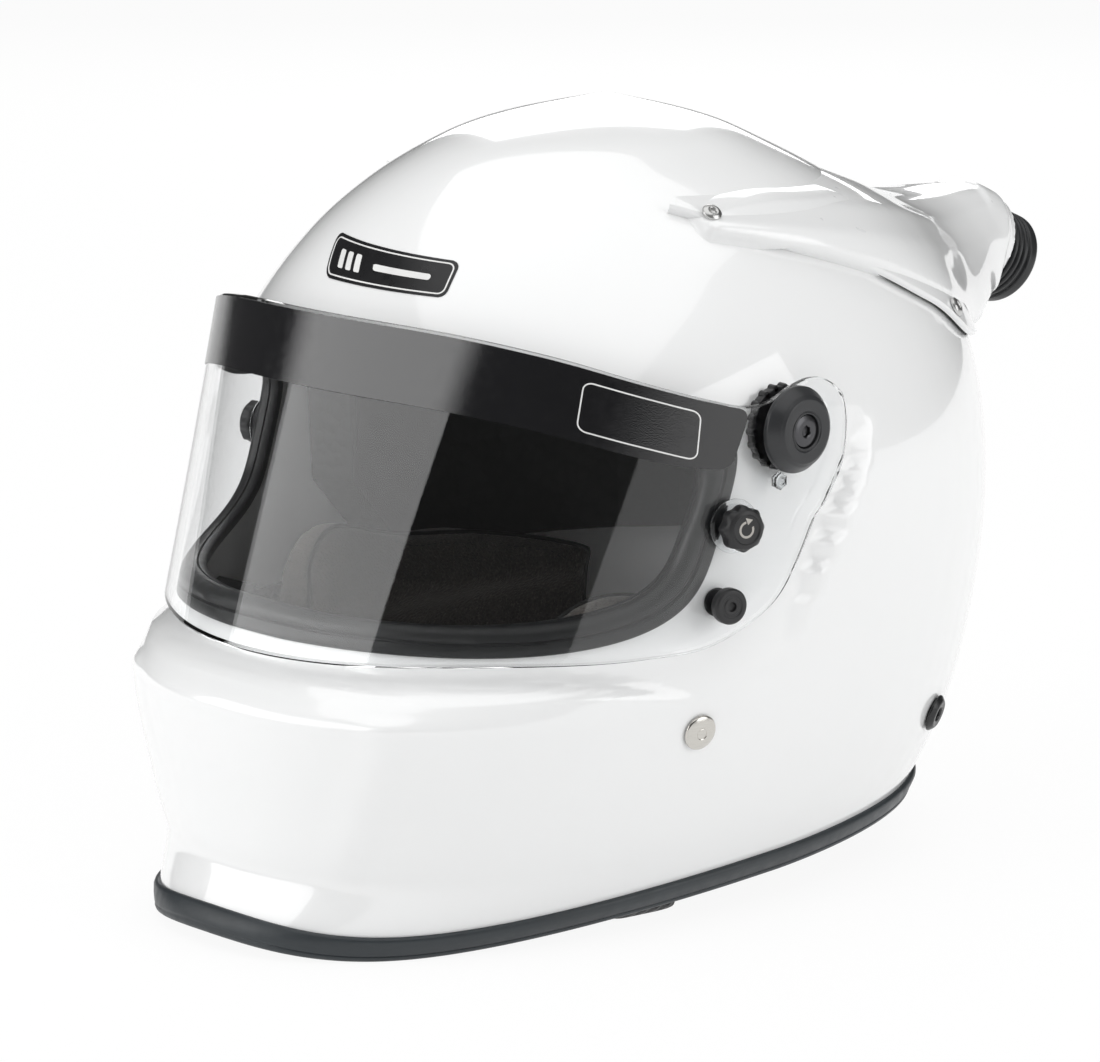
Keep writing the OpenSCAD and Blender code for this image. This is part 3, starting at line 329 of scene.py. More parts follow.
def swept(name, rings, mat, closed=True, sharp=38):
    """Solid through rings of points"""
    rings = np.asarray(rings, float)
    m, n = rings.shape[:2]
    if closed:
        rings = np.concatenate([rings, rings[:1]])
        faces = grid_faces(m + 1, n, True) % (m * n)
        return finished(name, rings[:m].reshape(-1, 3), faces.tolist(), mat, sharp)
    faces = grid_faces(m, n, True).tolist() + [list(range(n))[::-1], list(range((m - 1) * n, m * n))]
    return finished(name, rings.reshape(-1, 3), faces, mat, sharp)


def give(ob, body, *nodes, slot=None):
    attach(ob, body)
    if nodes:
        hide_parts(*nodes)
    return ob


# ---- Shaders
class Val:
    """A shader socket that takes part in Python expressions"""

    def __init__(self, tree, socket):
        self.tree, self.socket = tree, socket

    def math(self, operation, *args):
        n = self.tree.nodes.new("ShaderNodeMath")
        n.operation = operation
        for k, a in enumerate(args):
            if isinstance(a, Val):
                self.tree.links.new(a.socket, n.inputs[k])
            else:
                n.inputs[k].default_value = a
        return Val(self.tree, n.outputs[0])

    def __add__(self, o):
        return self.math("ADD", self, o)

    __radd__ = __add__

    def __mul__(self, o):
        return self.math("MULTIPLY", self, o)

    def __sub__(self, o):
        return self.math("SUBTRACT", self, o)

    def __rsub__(self, o):
        return self.math("SUBTRACT", o, self)

    def above(self, o):
        return self.math("GREATER_THAN", self, o)

    def sine(self):
        return self.math("SINE", self)

    def clamp(self, lo=0.0, hi=1.0):
        return self.math("MINIMUM", self.math("MAXIMUM", self, lo), hi)


def input_of(node, key):
    """A node's input by its name, with _ for a space, or by its number after an i"""
    return node.inputs[int(key[1:])] if key[0] == "i" and key[1:].isdigit() else node.inputs[key.replace("_", " ")]


class Finish:
    """A material on one Principled shader"""

    def __init__(self, name, colour, rough, **plain_values):
        self.mat = bpy.data.materials.new(name)
        self.mat.use_nodes = True
        self.tree = self.mat.node_tree
        self.bsdf = self.tree.nodes["Principled BSDF"]
        self.bsdf.inputs["Base Color"].default_value = (*colour, 1)
        self.bsdf.inputs["Roughness"].default_value = rough
        for key, value in plain_values.items():
            self.bsdf.inputs[key.replace("_", " ")].default_value = value
        self.colour, self.rough = colour, rough

    def node(self, kind, settings=None, output=0, **values):
        n = self.tree.nodes.new("ShaderNode" + kind)
        for key, value in (settings or {}).items():
            setattr(n, key, value)
        for key, value in values.items():
            if isinstance(value, Val):
                self.tree.links.new(value.socket, input_of(n, key))
            else:
                input_of(n, key).default_value = value
        return Val(self.tree, n.outputs[output])

    def place(self):
        return self.node("TexCoord", output=3)

    def noise(self, scale, detail=3.0, where=None):
        return self.node("TexNoise", Vector=where or self.place(), Scale=scale, Detail=detail)

    def cells(self, scale):
        return self.node("TexVoronoi", Vector=self.place(), Scale=scale)

    def tint(self, factor, a, b):
        """Base colour between two colours"""
        self.feed("Base Color", self.node("Mix", {"data_type": "RGBA"}, 2, i0=factor, i6=(*a, 1), i7=(*b, 1)))

    def feed(self, name, value):
        self.tree.links.new(value.socket, self.bsdf.inputs[name])

    def bump(self, height, distance, strength=1.0):
        self.feed("Normal", self.node("Bump", Height=height, Distance=distance, Strength=strength))

    def vary_rough(self, value, spread):
        self.feed("Roughness", (self.rough + (value - 0.5) * spread).clamp(0.02))


def scaled(colour, by):
    return tuple(c * by for c in colour)


def gloss_white(name, colour, rough):
    f = Finish(name, colour, rough, Coat_Weight=1.0, Coat_Roughness=0.04, Coat_IOR=1.5)
    f.tint(f.noise(9, 2), scaled(colour, 0.985), colour)
    f.vary_rough(f.noise(140, 4), 0.12)
    f.bump(f.noise(420, 2), 0.00002, 0.25)
    return f.mat


def rubber(name, colour, rough, grain=900):
    f = Finish(name, colour, rough)
    f.tint(f.noise(35, 4), scaled(colour, 0.85), scaled(colour, 1.5))
    f.vary_rough(f.noise(220, 3), 0.3)
    f.bump(f.noise(grain, 3), 0.00006, 0.6)
    return f.mat


def moulded(name, colour, rough, grain=1600, **inputs):
    f = Finish(name, colour, rough, **inputs)
    f.tint(f.noise(60, 3), scaled(colour, 0.8), scaled(colour, 1.3))
    f.vary_rough(f.noise(300, 3), 0.22)
    f.bump(f.cells(grain), 0.00003, 0.5)
    return f.mat


def metal(name, colour, rough):
    f = Finish(name, colour, rough, Metallic=1.0)
    streak = f.noise(260, 5, f.node("Mapping", Vector=f.place(), Scale=(1, 1, 6)))
    f.tint(streak, scaled(colour, 0.86), colour)
    f.vary_rough(streak, 0.16)
    f.bump(f.noise(1500, 2), 0.00001, 0.5)
    return f.mat


def foam_beads(name, colour):
    f = Finish(name, colour, 0.75)
    bead = f.cells(190)
    # Beads lighter on their domes and darker between them, following the bump: painted shade in the seams between beads
    f.tint(bead, scaled(colour, 1.5), scaled(colour, 0.6))
    f.bump(1 - bead, 0.0006, 0.7)
    return f.mat


def knit(name, colour, fleck, sheen=0.12):
    """Short-pile fabric with light flecks"""
    f = Finish(name, colour, 0.92, Sheen_Weight=sheen, Sheen_Roughness=0.5)
    thread = f.cells(780)
    flecks = f.noise(1100, 2).above(0.62)
    f.tint((thread * 0.5 + flecks * 0.55 + f.noise(25, 3) * 0.25).clamp(), colour, fleck)
    f.bump(1 - thread, 0.0005, 0.8)
    return f.mat


def webbing(name, colour):
    """Woven band: chevrons along the piece's own UV, in metres, with painted highlight on the rib tops and painted
    shade in the grooves
    """
    pitch = 620
    f = Finish(name, colour, 0.7, Sheen_Weight=0.3)
    uv = f.node("SeparateXYZ", Vector=f.node("TexCoord", output=2))
    across, along = Val(f.tree, uv.socket), Val(f.tree, uv.socket.node.outputs[1])
    rib_height_and_shade = (along * (pitch * 3) + (across * pitch * 2).sine() * 1.5).sine() * 0.5 + 0.5
    # Colour follows the rib height: painted highlight on the rib tops, painted shade in the grooves
    f.tint(rib_height_and_shade, scaled(colour, 0.6), scaled(colour, 1.6))
    f.bump(rib_height_and_shade, 0.0004, 0.9)
    return f.mat


def clear(name, tone, rough=0.0, ior=1.5):
    """Clear plastic that lets the lamps through"""
    f = Finish(name, tone, rough, IOR=ior, Transmission_Weight=1.0)
    film = f.node("BsdfTransparent", Color=(*scaled(tone, 0.97), 1))
    shadow = Val(f.tree, f.node("LightPath").socket.node.outputs["Is Shadow Ray"])
    both = f.node("MixShader", i0=shadow, i1=Val(f.tree, f.bsdf.outputs[0]), i2=film)
    f.tree.links.new(both.socket, f.tree.nodes["Material Output"].inputs["Surface"])
    return f.mat


SHELL_WHITE = gloss_white("shell_white", (0.86, 0.865, 0.865), 0.22)
DUCT_WHITE = gloss_white("duct_white", (0.84, 0.845, 0.845), 0.3)
TRIM = rubber("trim_rubber", (0.022, 0.027, 0.031), 0.42, 700)
GASKET = rubber("gasket_rubber", (0.006, 0.0065, 0.007), 0.4)
SEAL = rubber("seal_rubber", (0.016, 0.017, 0.018), 0.6)
HOSE_RUBBER = rubber("nozzle_rubber", (0.012, 0.013, 0.014), 0.34)
# Liner foam: black foam darkened further to near black, partly its own colour and partly painted shade of the deep
# interior
FOAM_DARK_WITH_PAINTED_SHADE = foam_beads("liner_foam", (0.005, 0.005, 0.0055))
FABRIC = knit("pad_fabric", (0.030, 0.026, 0.023), (0.12, 0.105, 0.09))
VISOR = clear("visor_clear", (0.985, 0.99, 0.992), 0.0, 1.45)
FILM = moulded("strip_film", (0.006, 0.006, 0.007), 0.12, 2600, IOR=1.75)
PIVOT = moulded("pivot_black", (0.011, 0.011, 0.012), 0.32)
PIVOT_CAP = moulded("cap_black", (0.022, 0.023, 0.025), 0.36)
MARK = moulded("mark_grey", (0.42, 0.40, 0.37), 0.5)
KNOB = moulded("knob_black", (0.013, 0.013, 0.014), 0.42)
WASHER = clear("washer_clear", (0.95, 0.96, 0.965), 0.02, 1.45)
POST_METAL = metal("post_metal", (0.62, 0.63, 0.64), 0.3)
SCREW_DARK = metal("screw_dark", (0.10, 0.10, 0.105), 0.32)
SCREW_BRIGHT = metal("screw_bright", (0.66, 0.66, 0.65), 0.3)
NICKEL = metal("rivet_nickel", (0.66, 0.64, 0.60), 0.2)
ANODISED = moulded("anchor_black", (0.012, 0.012, 0.013), 0.28)
# Brow, chin, neck roll and crown pads: dark fabric taken down to near black, partly its own colour and partly painted
# shade of the deep interior
LINING_DARK_WITH_PAINTED_SHADE = knit("lining_fabric", (0.004, 0.004, 0.004), (0.010, 0.010, 0.010), 0.0)
PIPING = rubber("piping_fabric", (0.006, 0.006, 0.006), 0.7, 1500)
THREAD = rubber("sewing_thread", (0.02, 0.02, 0.02), 0.7, 2500)
LABEL = moulded("label_black", (0.008, 0.008, 0.009), 0.3, 2200)
KEYLINE = moulded("label_keyline", (0.72, 0.72, 0.71), 0.4, 2200)
NUB = clear("nub_clear", (0.8, 0.82, 0.83), 0.08, 1.45)
WEBBING = webbing("strap_webbing", (0.012, 0.012, 0.013))
STEEL = metal("ring_steel", (0.6, 0.6, 0.6), 0.25)

# ---- Camera, floor and light
TARGET = Vector((0, -0.030, 0.137))
AZIMUTH, ELEVATION, DISTANCE = math.radians(46.2), math.radians(12), 1.75
back = Vector((math.sin(AZIMUTH) * math.cos(ELEVATION), -math.cos(AZIMUTH) * math.cos(ELEVATION),
               math.sin(ELEVATION)))
right = Vector((math.cos(AZIMUTH), math.sin(AZIMUTH), 0))
up = back.cross(right)
PHOTO_W, PX_PER_MM, SENSOR = 1100, 2.72, 36
eye = bpy.data.cameras.new("photo_camera")
eye.sensor_fit, eye.sensor_width = "HORIZONTAL", SENSOR
eye.lens = SENSOR * PX_PER_MM * DISTANCE * 1000 / PHOTO_W
eye.shift_x, eye.shift_y = -27.7 / PHOTO_W, -46 / PHOTO_W
eye.clip_end = 50
camera = linked("photo_camera", eye)
camera.matrix_world = Matrix.Translation(TARGET + back * DISTANCE) @ Matrix((right, up, back)).transposed().to_4x4()
bpy.context.scene.camera = camera
bpy.context.scene.view_settings.view_transform = "Standard"


def softbox(name, at, size, power):
    data = bpy.data.lights.new(name, "AREA")
    data.shape, data.size, data.size_y = "RECTANGLE", size[0], size[1]
    data.energy = power
    ob = linked(name, data)
    ob.location = at
    ob.rotation_euler = (Vector(at) - Vector((0, 0, 0.14))).to_track_quat("Z", "Y").to_euler()


def path_value(tree, path, *keys):
    """Sum of some outputs of a light path node"""
    total = Val(tree, path.outputs[keys[0]])
    for key in keys[1:]:
        total = total + Val(tree, path.outputs[key])
    return total.clamp()


def shown_as(tree, factor, a, b, output):
    """Two shaders mixed into a tree's output"""
    mix = tree.nodes.new("ShaderNodeMixShader")
    tree.links.new(factor.socket, mix.inputs[0])
    tree.links.new(a.outputs[0], mix.inputs[1])
    tree.links.new(b.outputs[0], mix.inputs[2])
    tree.links.new(mix.outputs[0], tree.nodes[output].inputs["Surface"])


def build_stage():
    world = bpy.data.worlds.new("studio")
    bpy.context.scene.world = world
    world.use_nodes = True
    tree = world.node_tree
    light, sky = tree.nodes["Background"], tree.nodes.new("ShaderNodeBackground")
    light.inputs[0].default_value = (1, 1, 1, 1)
    sky.inputs[0].default_value, sky.inputs[1].default_value = (1, 1, 1, 1), 1.0
    path = tree.nodes.new("ShaderNodeLightPath")
    by_mirror, scattered = path_value(tree, path, "Glossy Depth"), path_value(tree, path, "Diffuse Depth")
    tree.links.new((0.45 - by_mirror * (1 - scattered) * 0.36).socket, light.inputs[1])
    seen = path_value(tree, path, "Is Camera Ray", "Is Transmission Ray")
    shown_as(tree, seen * (1 - (by_mirror + scattered).clamp()), light, sky, "World Output")

    floor_mat = bpy.data.materials.new("pale_floor")
    floor_mat.use_nodes = True
    tree = floor_mat.node_tree
    base = tree.nodes["Principled BSDF"]
    base.inputs["Base Color"].default_value = (0.9, 0.9, 0.9, 1)
    base.inputs["Roughness"].default_value = 0.9
    base.inputs["Specular IOR Level"].default_value = 0.0
    glow = tree.nodes.new("ShaderNodeEmission")
    glow.inputs[0].default_value = (1, 1, 1, 1)
    path = tree.nodes.new("ShaderNodeLightPath")
    seen = path_value(tree, path, "Is Camera Ray", "Is Glossy Ray", "Is Transmission Ray")
    shown_as(tree, seen * 0.92, base, glow, "Material Output")
    me = bpy.data.meshes.new("floor")
    w = 9
    me.from_pydata([(-w, -w, 0), (w, -w, 0), (w, w, 0), (-w, w, 0)], [], [(0, 1, 2, 3)])
    me.materials.append(floor_mat)
    floor = linked("floor", me)

    softbox("left_front", (-1.0, -2.1, 0.85), (2.5, 1.3), 24)
    softbox("overhead", (0.1, -0.2, 2.4), (3.2, 3.2), 38)
    softbox("right_side", (2.2, 0.8, 0.9), (1.6, 1.6), 18)
    softbox("rear_left", (-1.6, 1.6, 1.1), (1.0, 1.4), 10)


build_stage()


# ---- Shell
def shell_rows(n):
    """Heights above the edge, evenly spaced along the side's profile"""
    z = np.linspace(0, SHELL_H - 0.02, 4000)
    finer = 1 + 2 * ((z > 64) & (z < 88))[1:]
    run = np.concatenate([[0], np.cumsum(np.hypot(np.diff(side(z)), np.diff(z)) * finer)])
    return np.interp(np.linspace(0, run[-1], n), run, z)


PIVOT_Y = EAR_Y - PIVOT_FWD
PIVOT_SHARE = (PIVOT_FWD + VISOR_FLAT) / (visor_reach(PIVOT_Z) + VISOR_FLAT)
PIVOT_FLOOR = VISOR_HALF * (1 - PIVOT_SHARE**VISOR_SQUARE) ** (1 / VISOR_SQUARE) - VISOR_T - PORT_GAP - 2.3


def seated(p, off):
    """The flat seat of each pivot plate"""
    r = np.hypot(p[..., 1] - PIVOT_Y, p[..., 2] - PIVOT_Z)
    limit = PIVOT_FLOOR + off + 12 * blend((r - 15.4) / 2.2)
    near = (r < 17.5) & (np.abs(p[..., 0]) > 90)
    x = np.where(near, np.sign(p[..., 0]) * np.minimum(np.abs(p[..., 0]), limit), p[..., 0])
    return np.stack([x, p[..., 1], p[..., 2]], -1)


def build_shell():
    cols = np.arange(-136, 136) * 360 / 272
    rows = shell_rows(170)
    a, r = np.meshgrid(cols, rows)
    params = np.stack([a, row_z(a, r)], -1)
    p, quads, tris = trimmed(params, lambda q: port_field(q[..., 0], q[..., 1]), wrap=True)
    a, z = p[..., 0], p[..., 1]
    outer = seated(skin(a, z, 0 * a), 0).reshape(-1, 3)
    inner = seated(skin(a, z, 0 * a - SHELL_T), -SHELL_T).reshape(-1, 3)
    n, m = len(cols), len(rows)
    top = np.array([[0, CROWN_BACK + EAR_Y, SHELL_H]])
    last = (m - 1) * n + np.arange(n)
    cap = np.stack([last, np.roll(last, -1), np.full(n, n * m)], -1)
    verts, faces = thick(np.concatenate([outer, top]), np.concatenate([inner, top - [0, 0, SHELL_T]]),
                         [quads, tris, cap])
    give(finished("shell", verts, faces, SHELL_WHITE, 50), "root", "outer_shell", slot="shell_white")


def build_trim():
    section = [(-0.2, 6.0), (0.9, 6.15), (1.8, 5.7), (2.2, 4.8), (2.3, 2.6), (2.3, 0.4), (2.22, -0.2), (2.0, -0.5),
               (2.2, -0.8), (2.25, -1.4), (1.9, -2.3), (1.2, -2.85), (0, -3), (-3.2, -3), (-4.4, -2.8), (-5.1, -2.1),
               (-5.3, -1), (-5.3, 4.8), (-4.9, 5.8), (-4.1, 6.1), (-3.3, 6.0), (-3.3, -0.4), (-0.2, -0.4)]
    a = np.arange(480) * 0.75
    rings = []
    for off, rise in section:
        p = skin(a, row_z(a, np.full_like(a, max(rise, 0))), np.full_like(a, off))
        flat = min(max(-rise / 1.5, 0), 1)
        p[:, 2] = p[:, 2] * (1 - flat) + edge_z(a) * flat + min(rise, 0)
        rings.append(p)
    give(swept("edge_trim_rubber", np.stack(rings, 1), TRIM, sharp=60), "root", "edge_trim", slot="trim_rubber")


def build_gasket():
    section = [(5.0, 0.9), (5.25, 1.3), (5.0, 1.9), (4.3, 2.25), (2.4, 2.3), (1.3, 2.3), (0.9, 1.75), (0.3, 1.7),
               (-0.1, 2.25), (-2.0, 2.3), (-3.2, 2.1), (-4.6, 1.2), (-5.5, 0.3), (-6, -0.8), (-6, -3), (-5.4, -3.4),
               (-6, -3.8), (-6, -6.3), (-5.5, -7), (-2, -7), (-1.2, -6.4), (-1.1, 0.9)]
    t = np.arange(288) * 1.25
    t = t + 6 * sind(4 * t)
    rings = [skin(*port_point(t, grow), np.full_like(t, off)) for grow, off in section]
    give(swept("eyeport_gasket_rubber", np.stack(rings, 1), GASKET, sharp=50), "root", "eyeport_gasket",
         slot="gasket_rubber")


# ---- Visor
def visor_cos(a):
    return np.maximum(cosd(a), 0) ** (2 / VISOR_SQUARE)


def visor_sin(a):
    return np.maximum(sind(a), 0) ** (2 / VISOR_SQUARE)


def visor_y(a, z):
    return VISOR_FLAT - (visor_reach(z) + VISOR_FLAT) * visor_cos(a)


def on_visor(k, z, off):
    return np.stack([(VISOR_HALF + off) * visor_sin(k), visor_y(k, z) - off * visor_cos(k) + EAR_Y, z], -1)


def round_corner(x, y, r):
    """Distance inside a box with round corners, from the distances to its sides"""
    return np.where((x < r) & (y < r), r - np.hypot(r - x, r - y), np.minimum(x, y))


LOBE_Y, LOBE_REACH, LOBE_SLOPE, LOBE_LONG = -10.0, 15.6, 0.36, 15  # the visor's round end and its share of u
VISOR_RIM, STRIP_OUT, STRIP_DOWN = 0.7, 0.55, 0.6


def visor_place(u, v, off):
    """Point of the visor; u is an angle up to 90, then the flat side and the round end, and v goes up"""
    s, w = np.sign(u), np.abs(u)
    ang = np.minimum(w, 90)
    flat = VISOR_FLAT + (LOBE_Y - VISOR_FLAT) * np.clip((w - 90) / 5, 0, 1)
    y_low = np.where(w > 90, flat, visor_y(ang, VISOR_LOW_Z))
    y_top = np.where(w > 90, flat, visor_y(ang, VISOR_HIGH_Z))
    lo, hi = VISOR_LOW_Z + visor_low(y_low), VISOR_HIGH_Z + visor_top(y_top)
    end, t = np.clip((w - 95) / LOBE_LONG, 0, 1), 2 * v - 1
    beyond = LOBE_REACH * end * np.sqrt(1 - t * t / 2)
    rise = (hi - lo) / 2 * t * np.sqrt(1 - end * end / 2) * (1 - 0.16 * end * t * t)
    z = (lo + hi) / 2 + rise + beyond * LOBE_SLOPE
    x = np.where(w > 90, 1, visor_sin(ang)) * (VISOR_HALF + off)
    yy = np.where(w > 90, flat + beyond, visor_y(ang, z) - off * visor_cos(ang))
    return np.stack([s * x, yy + EAR_Y, z], -1)


def build_visor():
    end = 95 + LOBE_LONG
    u = np.concatenate([np.linspace(0, 90, 115), [92.5], 95 + LOBE_LONG * np.linspace(0, 0.92, 14),
                        [end - LOBE_LONG * VISOR_RIM / LOBE_REACH, end]])
    u = np.concatenate([-u[:0:-1], u])
    v = np.concatenate([[0, 0.007], np.linspace(0, 1, 62)[1:-1], [0.993, 1]])
    uu, vv = np.meshgrid(u, v)
    p = visor_place(uu, vv, 0 * uu)
    tall = np.abs(p[-1, :, 2] - p[0, :, 2])[None]
    inside = np.minimum(np.minimum(vv, 1 - vv) * tall, (end - np.abs(uu)) / LOBE_LONG * LOBE_REACH)
    cut = VISOR_RIM * (1 - np.clip(inside / VISOR_RIM, 0, 1))
    outer = visor_place(uu, vv, -cut).reshape(-1, 3)
    inner = visor_place(uu, vv, cut - VISOR_T).reshape(-1, 3)
    quads = grid_faces(len(v), len(u))
    hole = np.hypot(p[..., 1] - PIVOT_Y, p[..., 2] - PIVOT_Z) < 9
    verts, faces = thick(outer, inner, [quads[~hole.ravel()[quads].any(1)]])
    give(finished("visor_sheet", verts, faces, VISOR, 28), "visor", "visor_lens", slot="visor_clear")


def build_strip():
    uu, vv = np.meshgrid(np.linspace(-80, 80, 401), np.linspace(0, 1, 33))

    def spot(a, v, off):
        k = np.abs(a) - 3 * (1 - v) * blend((np.abs(a) - 60) / 16)
        top = VISOR_HIGH_Z + visor_top(visor_y(k, VISOR_HIGH_Z)) - STRIP_DOWN
        out = on_visor(k, top - STRIP_DEPTH * (1 - 0.1 * blend((k - 60) / 16)) * (1 - v), off)
        out[..., 0] *= np.sign(a)
        return out

    def field(q):
        return round_corner((77 - np.abs(q[..., 0])) * 2.1, STRIP_DEPTH * (0.5 - np.abs(q[..., 1] - 0.5)), 5.0)

    p, quads, tris = trimmed(np.stack([uu, vv], -1), field)
    outer = spot(p[..., 0], p[..., 1], STRIP_OUT).reshape(-1, 3)
    inner = spot(p[..., 0], p[..., 1], 0.12).reshape(-1, 3)
    verts, faces = thick(outer, inner, [quads, tris])
    give(finished("visor_strip_film", verts, faces, FILM, 50), "visor", "visor_strip", slot="strip_film")


# ---- Plain meshes from geometry trees
class Tree:
    """Nodes of a geometry tree with named inputs"""

    def __init__(self, name, **inputs):
        self.group = bpy.data.node_groups.new(name, "GeometryNodeTree")
        self.face = self.group.interface
        self.face.new_socket("Geometry", in_out="INPUT", socket_type="NodeSocketGeometry")
        for label, (kind, value) in inputs.items():
            s = self.face.new_socket(label, in_out="INPUT", socket_type="NodeSocket" + kind)
            if value is not None:
                s.default_value = value
        self.face.new_socket("Geometry", in_out="OUTPUT", socket_type="NodeSocketGeometry")
        self.start = self.group.nodes.new("NodeGroupInput")

    def given(self, label):
        return self.start.outputs[label]

    def add(self, kind, settings=None, **values):
        n = self.group.nodes.new(kind)
        for key, value in (settings or {}).items():
            setattr(n, key, value)
        for key, value in values.items():
            if isinstance(value, bpy.types.NodeSocket):
                self.group.links.new(value, input_of(n, key))
            else:
                input_of(n, key).default_value = value
        return n.outputs[0]

    def copies(self, points, turn):
        """The item's mesh on each point"""
        info = self.group.nodes.new("GeometryNodeObjectInfo")
        self.group.links.new(self.given("Item"), info.inputs["Object"])
        many = self.add("GeometryNodeInstanceOnPoints", Points=points, Instance=info.outputs["Geometry"], Rotation=turn)
        return self.add("GeometryNodeRealizeInstances", Geometry=many)

    def end(self, geometry):
        out = self.group.nodes.new("NodeGroupOutput")
        self.group.links.new(geometry, out.inputs[0])


def ring_tree():
    t = Tree("ring_of_items", Item=("Object", None), Count=("Int", 8), Radius=("Float", 0.01),
             Finish=("Material", None))
    points = t.add("GeometryNodeMeshCircle", Vertices=t.given("Count"), Radius=t.given("Radius"))
    step = t.add("ShaderNodeMath", {"operation": "DIVIDE"}, i0=2 * math.pi, i1=t.given("Count"))
    angle = t.add("ShaderNodeMath", {"operation": "MULTIPLY"}, i0=t.add("GeometryNodeInputIndex"), i1=step)
    turn = t.add("ShaderNodeCombineXYZ", i2=angle)
    copies = t.copies(points, turn)
    both = t.group.nodes.new("GeometryNodeJoinGeometry")
    t.group.links.new(t.given("Geometry"), both.inputs[0])
    t.group.links.new(copies, both.inputs[0])
    t.end(t.add("GeometryNodeSetMaterial", Geometry=both.outputs[0], Material=t.given("Finish")))
    return t.group


def row_tree():
    t = Tree("row_of_items", Item=("Object", None), Spacing=("Float", 0.003), Finish=("Material", None))
    path = t.add("GeometryNodeMeshToCurve", Mesh=t.given("Geometry"))
    even = t.add("GeometryNodeResampleCurve", {"mode": "LENGTH"}, Curve=path, Length=t.given("Spacing"))
    along = t.add("FunctionNodeAlignRotationToVector", {"axis": "X"}, Vector=t.add("GeometryNodeInputTangent"))
    face = t.add("GeometryNodeInputNamedAttribute", {"data_type": "FLOAT_VECTOR"}, Name="face")
    turn = t.add("FunctionNodeAlignRotationToVector", {"axis": "Z", "pivot_axis": "X"}, Rotation=along, Vector=face)
    t.end(t.add("GeometryNodeSetMaterial", Geometry=t.copies(even, turn), Material=t.given("Finish")))
    return t.group


RING, ROW = ring_tree(), row_tree()


def grown(ob, tree, item, mat, **sizes):
    """Runs a tree on an object and keeps its result as a plain mesh"""
    mod = ob.modifiers.new("tree", "NODES")
    mod.node_group = tree
    keys = {s.name: s.identifier for s in tree.interface.items_tree if s.in_out == "INPUT"}
    mod[keys["Item"]], mod[keys["Finish"]] = item, mat
    for name, value in sizes.items():
        mod[keys[name]] = value
    bpy.context.view_layer.update()
    me = bpy.data.meshes.new_from_object(ob.evaluated_get(bpy.context.evaluated_depsgraph_get()))
    ob.modifiers.remove(mod)
    ob.data = me
    bpy.data.objects.remove(item)
    return ob


def stitched(name, path, face, mat, spacing=3.2, size=(1.9, 0.55, 0.35)):
    """Row of stitches on a path in millimetres"""
    path = np.asarray(path, float)
    me = bpy.data.meshes.new(name)
    me.from_pydata((path * MM).tolist(), [(k, k + 1) for k in range(len(path) - 1)], [])
    me.attributes.new("face", "FLOAT_VECTOR", "POINT").data.foreach_set("vector", np.asarray(face, float).ravel())
    ob = linked(name, me)
    u, w = np.meshgrid(np.linspace(-1, 1, 7), np.arange(6) * 60)
    r = np.sqrt(np.maximum(1 - u**4, 0.04))
    thread = np.stack([u * size[0] / 2, cosd(w) * size[1] / 2 * r, sind(w) * size[2] / 2 * r], -1)
    item = swept(name + "_thread", thread.transpose(1, 0, 2), mat, closed=False, sharp=0)
    return grown(ob, ROW, item, mat, Spacing=spacing * MM)


# ---- Turned pieces
def rounded(profile, r, steps=3):
    """Closed profile with its corners rounded"""
    p = np.array(profile, float)
    out = []
    for k in range(len(p)):
        if p[k, 0] < 1e-6:
            out.append(p[k])
            continue
        a, b = p[k - 1] - p[k], p[(k + 1) % len(p)] - p[k]
        d = min(r, np.linalg.norm(a) * 0.45, np.linalg.norm(b) * 0.45)
        a, b = a / np.linalg.norm(a), b / np.linalg.norm(b)
        for t in np.linspace(0, 1, steps + 1):
            out.append(p[k] + a * d * (1 - t) ** 2 + b * d * t**2)
    return np.array(out)


def turned(name, profile, mat, n=72, sharp=40, wave=None):
    """Solid of revolution about +Z in millimetres; a wave changes the radius by angle and height"""
    p = np.asarray(profile, float)
    m = len(p)
    w = np.arange(n) * 360 / n
    r = np.repeat(p[:, 0][None], n, 0)
    if wave:
        r = r * wave(w[:, None], p[None, :, 0], p[None, :, 1])
    verts = np.stack([r * cosd(w)[:, None], r * sind(w)[:, None], np.repeat(p[:, 1][None], n, 0)], -1)
    ids = np.arange(n * m).reshape(n, m)
    ids[:, p[:, 0] < 1e-6] = ids[0, p[:, 0] < 1e-6]
    faces = []
    for q in grid_faces(n + 1, m, True) % (n * m):
        f = list(dict.fromkeys(ids.ravel()[q].tolist()))
        if len(f) > 2:
            faces.append(f)
    return finished(name, verts.reshape(-1, 3), faces, mat, sharp)


def local(p, n):
    """Frame with +Z along a direction, placed in millimetres"""
    z = Vector(n).normalized()
    x = Vector((0, 0, 1)).cross(z).normalized()
    m = Matrix((x, z.cross(x), z)).transposed().to_4x4()
    return Matrix.Translation(Vector(p) * MM) @ m


def lifted(h):
    return Matrix.Translation((0, 0, h * MM))


def placed(ob, matrix):
    ob.data.transform(matrix)
    return ob


def mirrored(ob, name):
    me = ob.data.copy()
    me.transform(Matrix.Scale(-1, 4, (1, 0, 0)))
    me.flip_normals()
    return linked(name, me)


def pair(ob, body, node, slot):
    """Gives the left piece and its mirror image to their nodes"""
    name = ob.name
    other = mirrored(ob, name + "_right")
    ob.name = name + "_left"
    right = body.replace("left", "right")
    give(ob, body, *([node + "_left"] if node else []), slot=slot)
    give(other, right, *([node + "_right"] if node else []), slot=slot)
    return ob, other


# ---- Solids from distances on a grid
def soft_union(a, b, k):
    h = np.clip(0.5 + 0.5 * (b - a) / k, 0, 1)
    return b * (1 - h) + a * h - k * h * (1 - h)


def sampled(f, p):
    """Value of a grid at fractional places"""
    p = np.clip(p, 0, np.array(f.shape) - 1.001)
    i = p.astype(int)
    t = p - i
    total = 0
    for c in np.ndindex(2, 2, 2):
        share = np.prod([t[:, k] if c[k] else 1 - t[:, k] for k in range(3)], axis=0)
        total = total + f[tuple((i + c).T)] * share
    return total


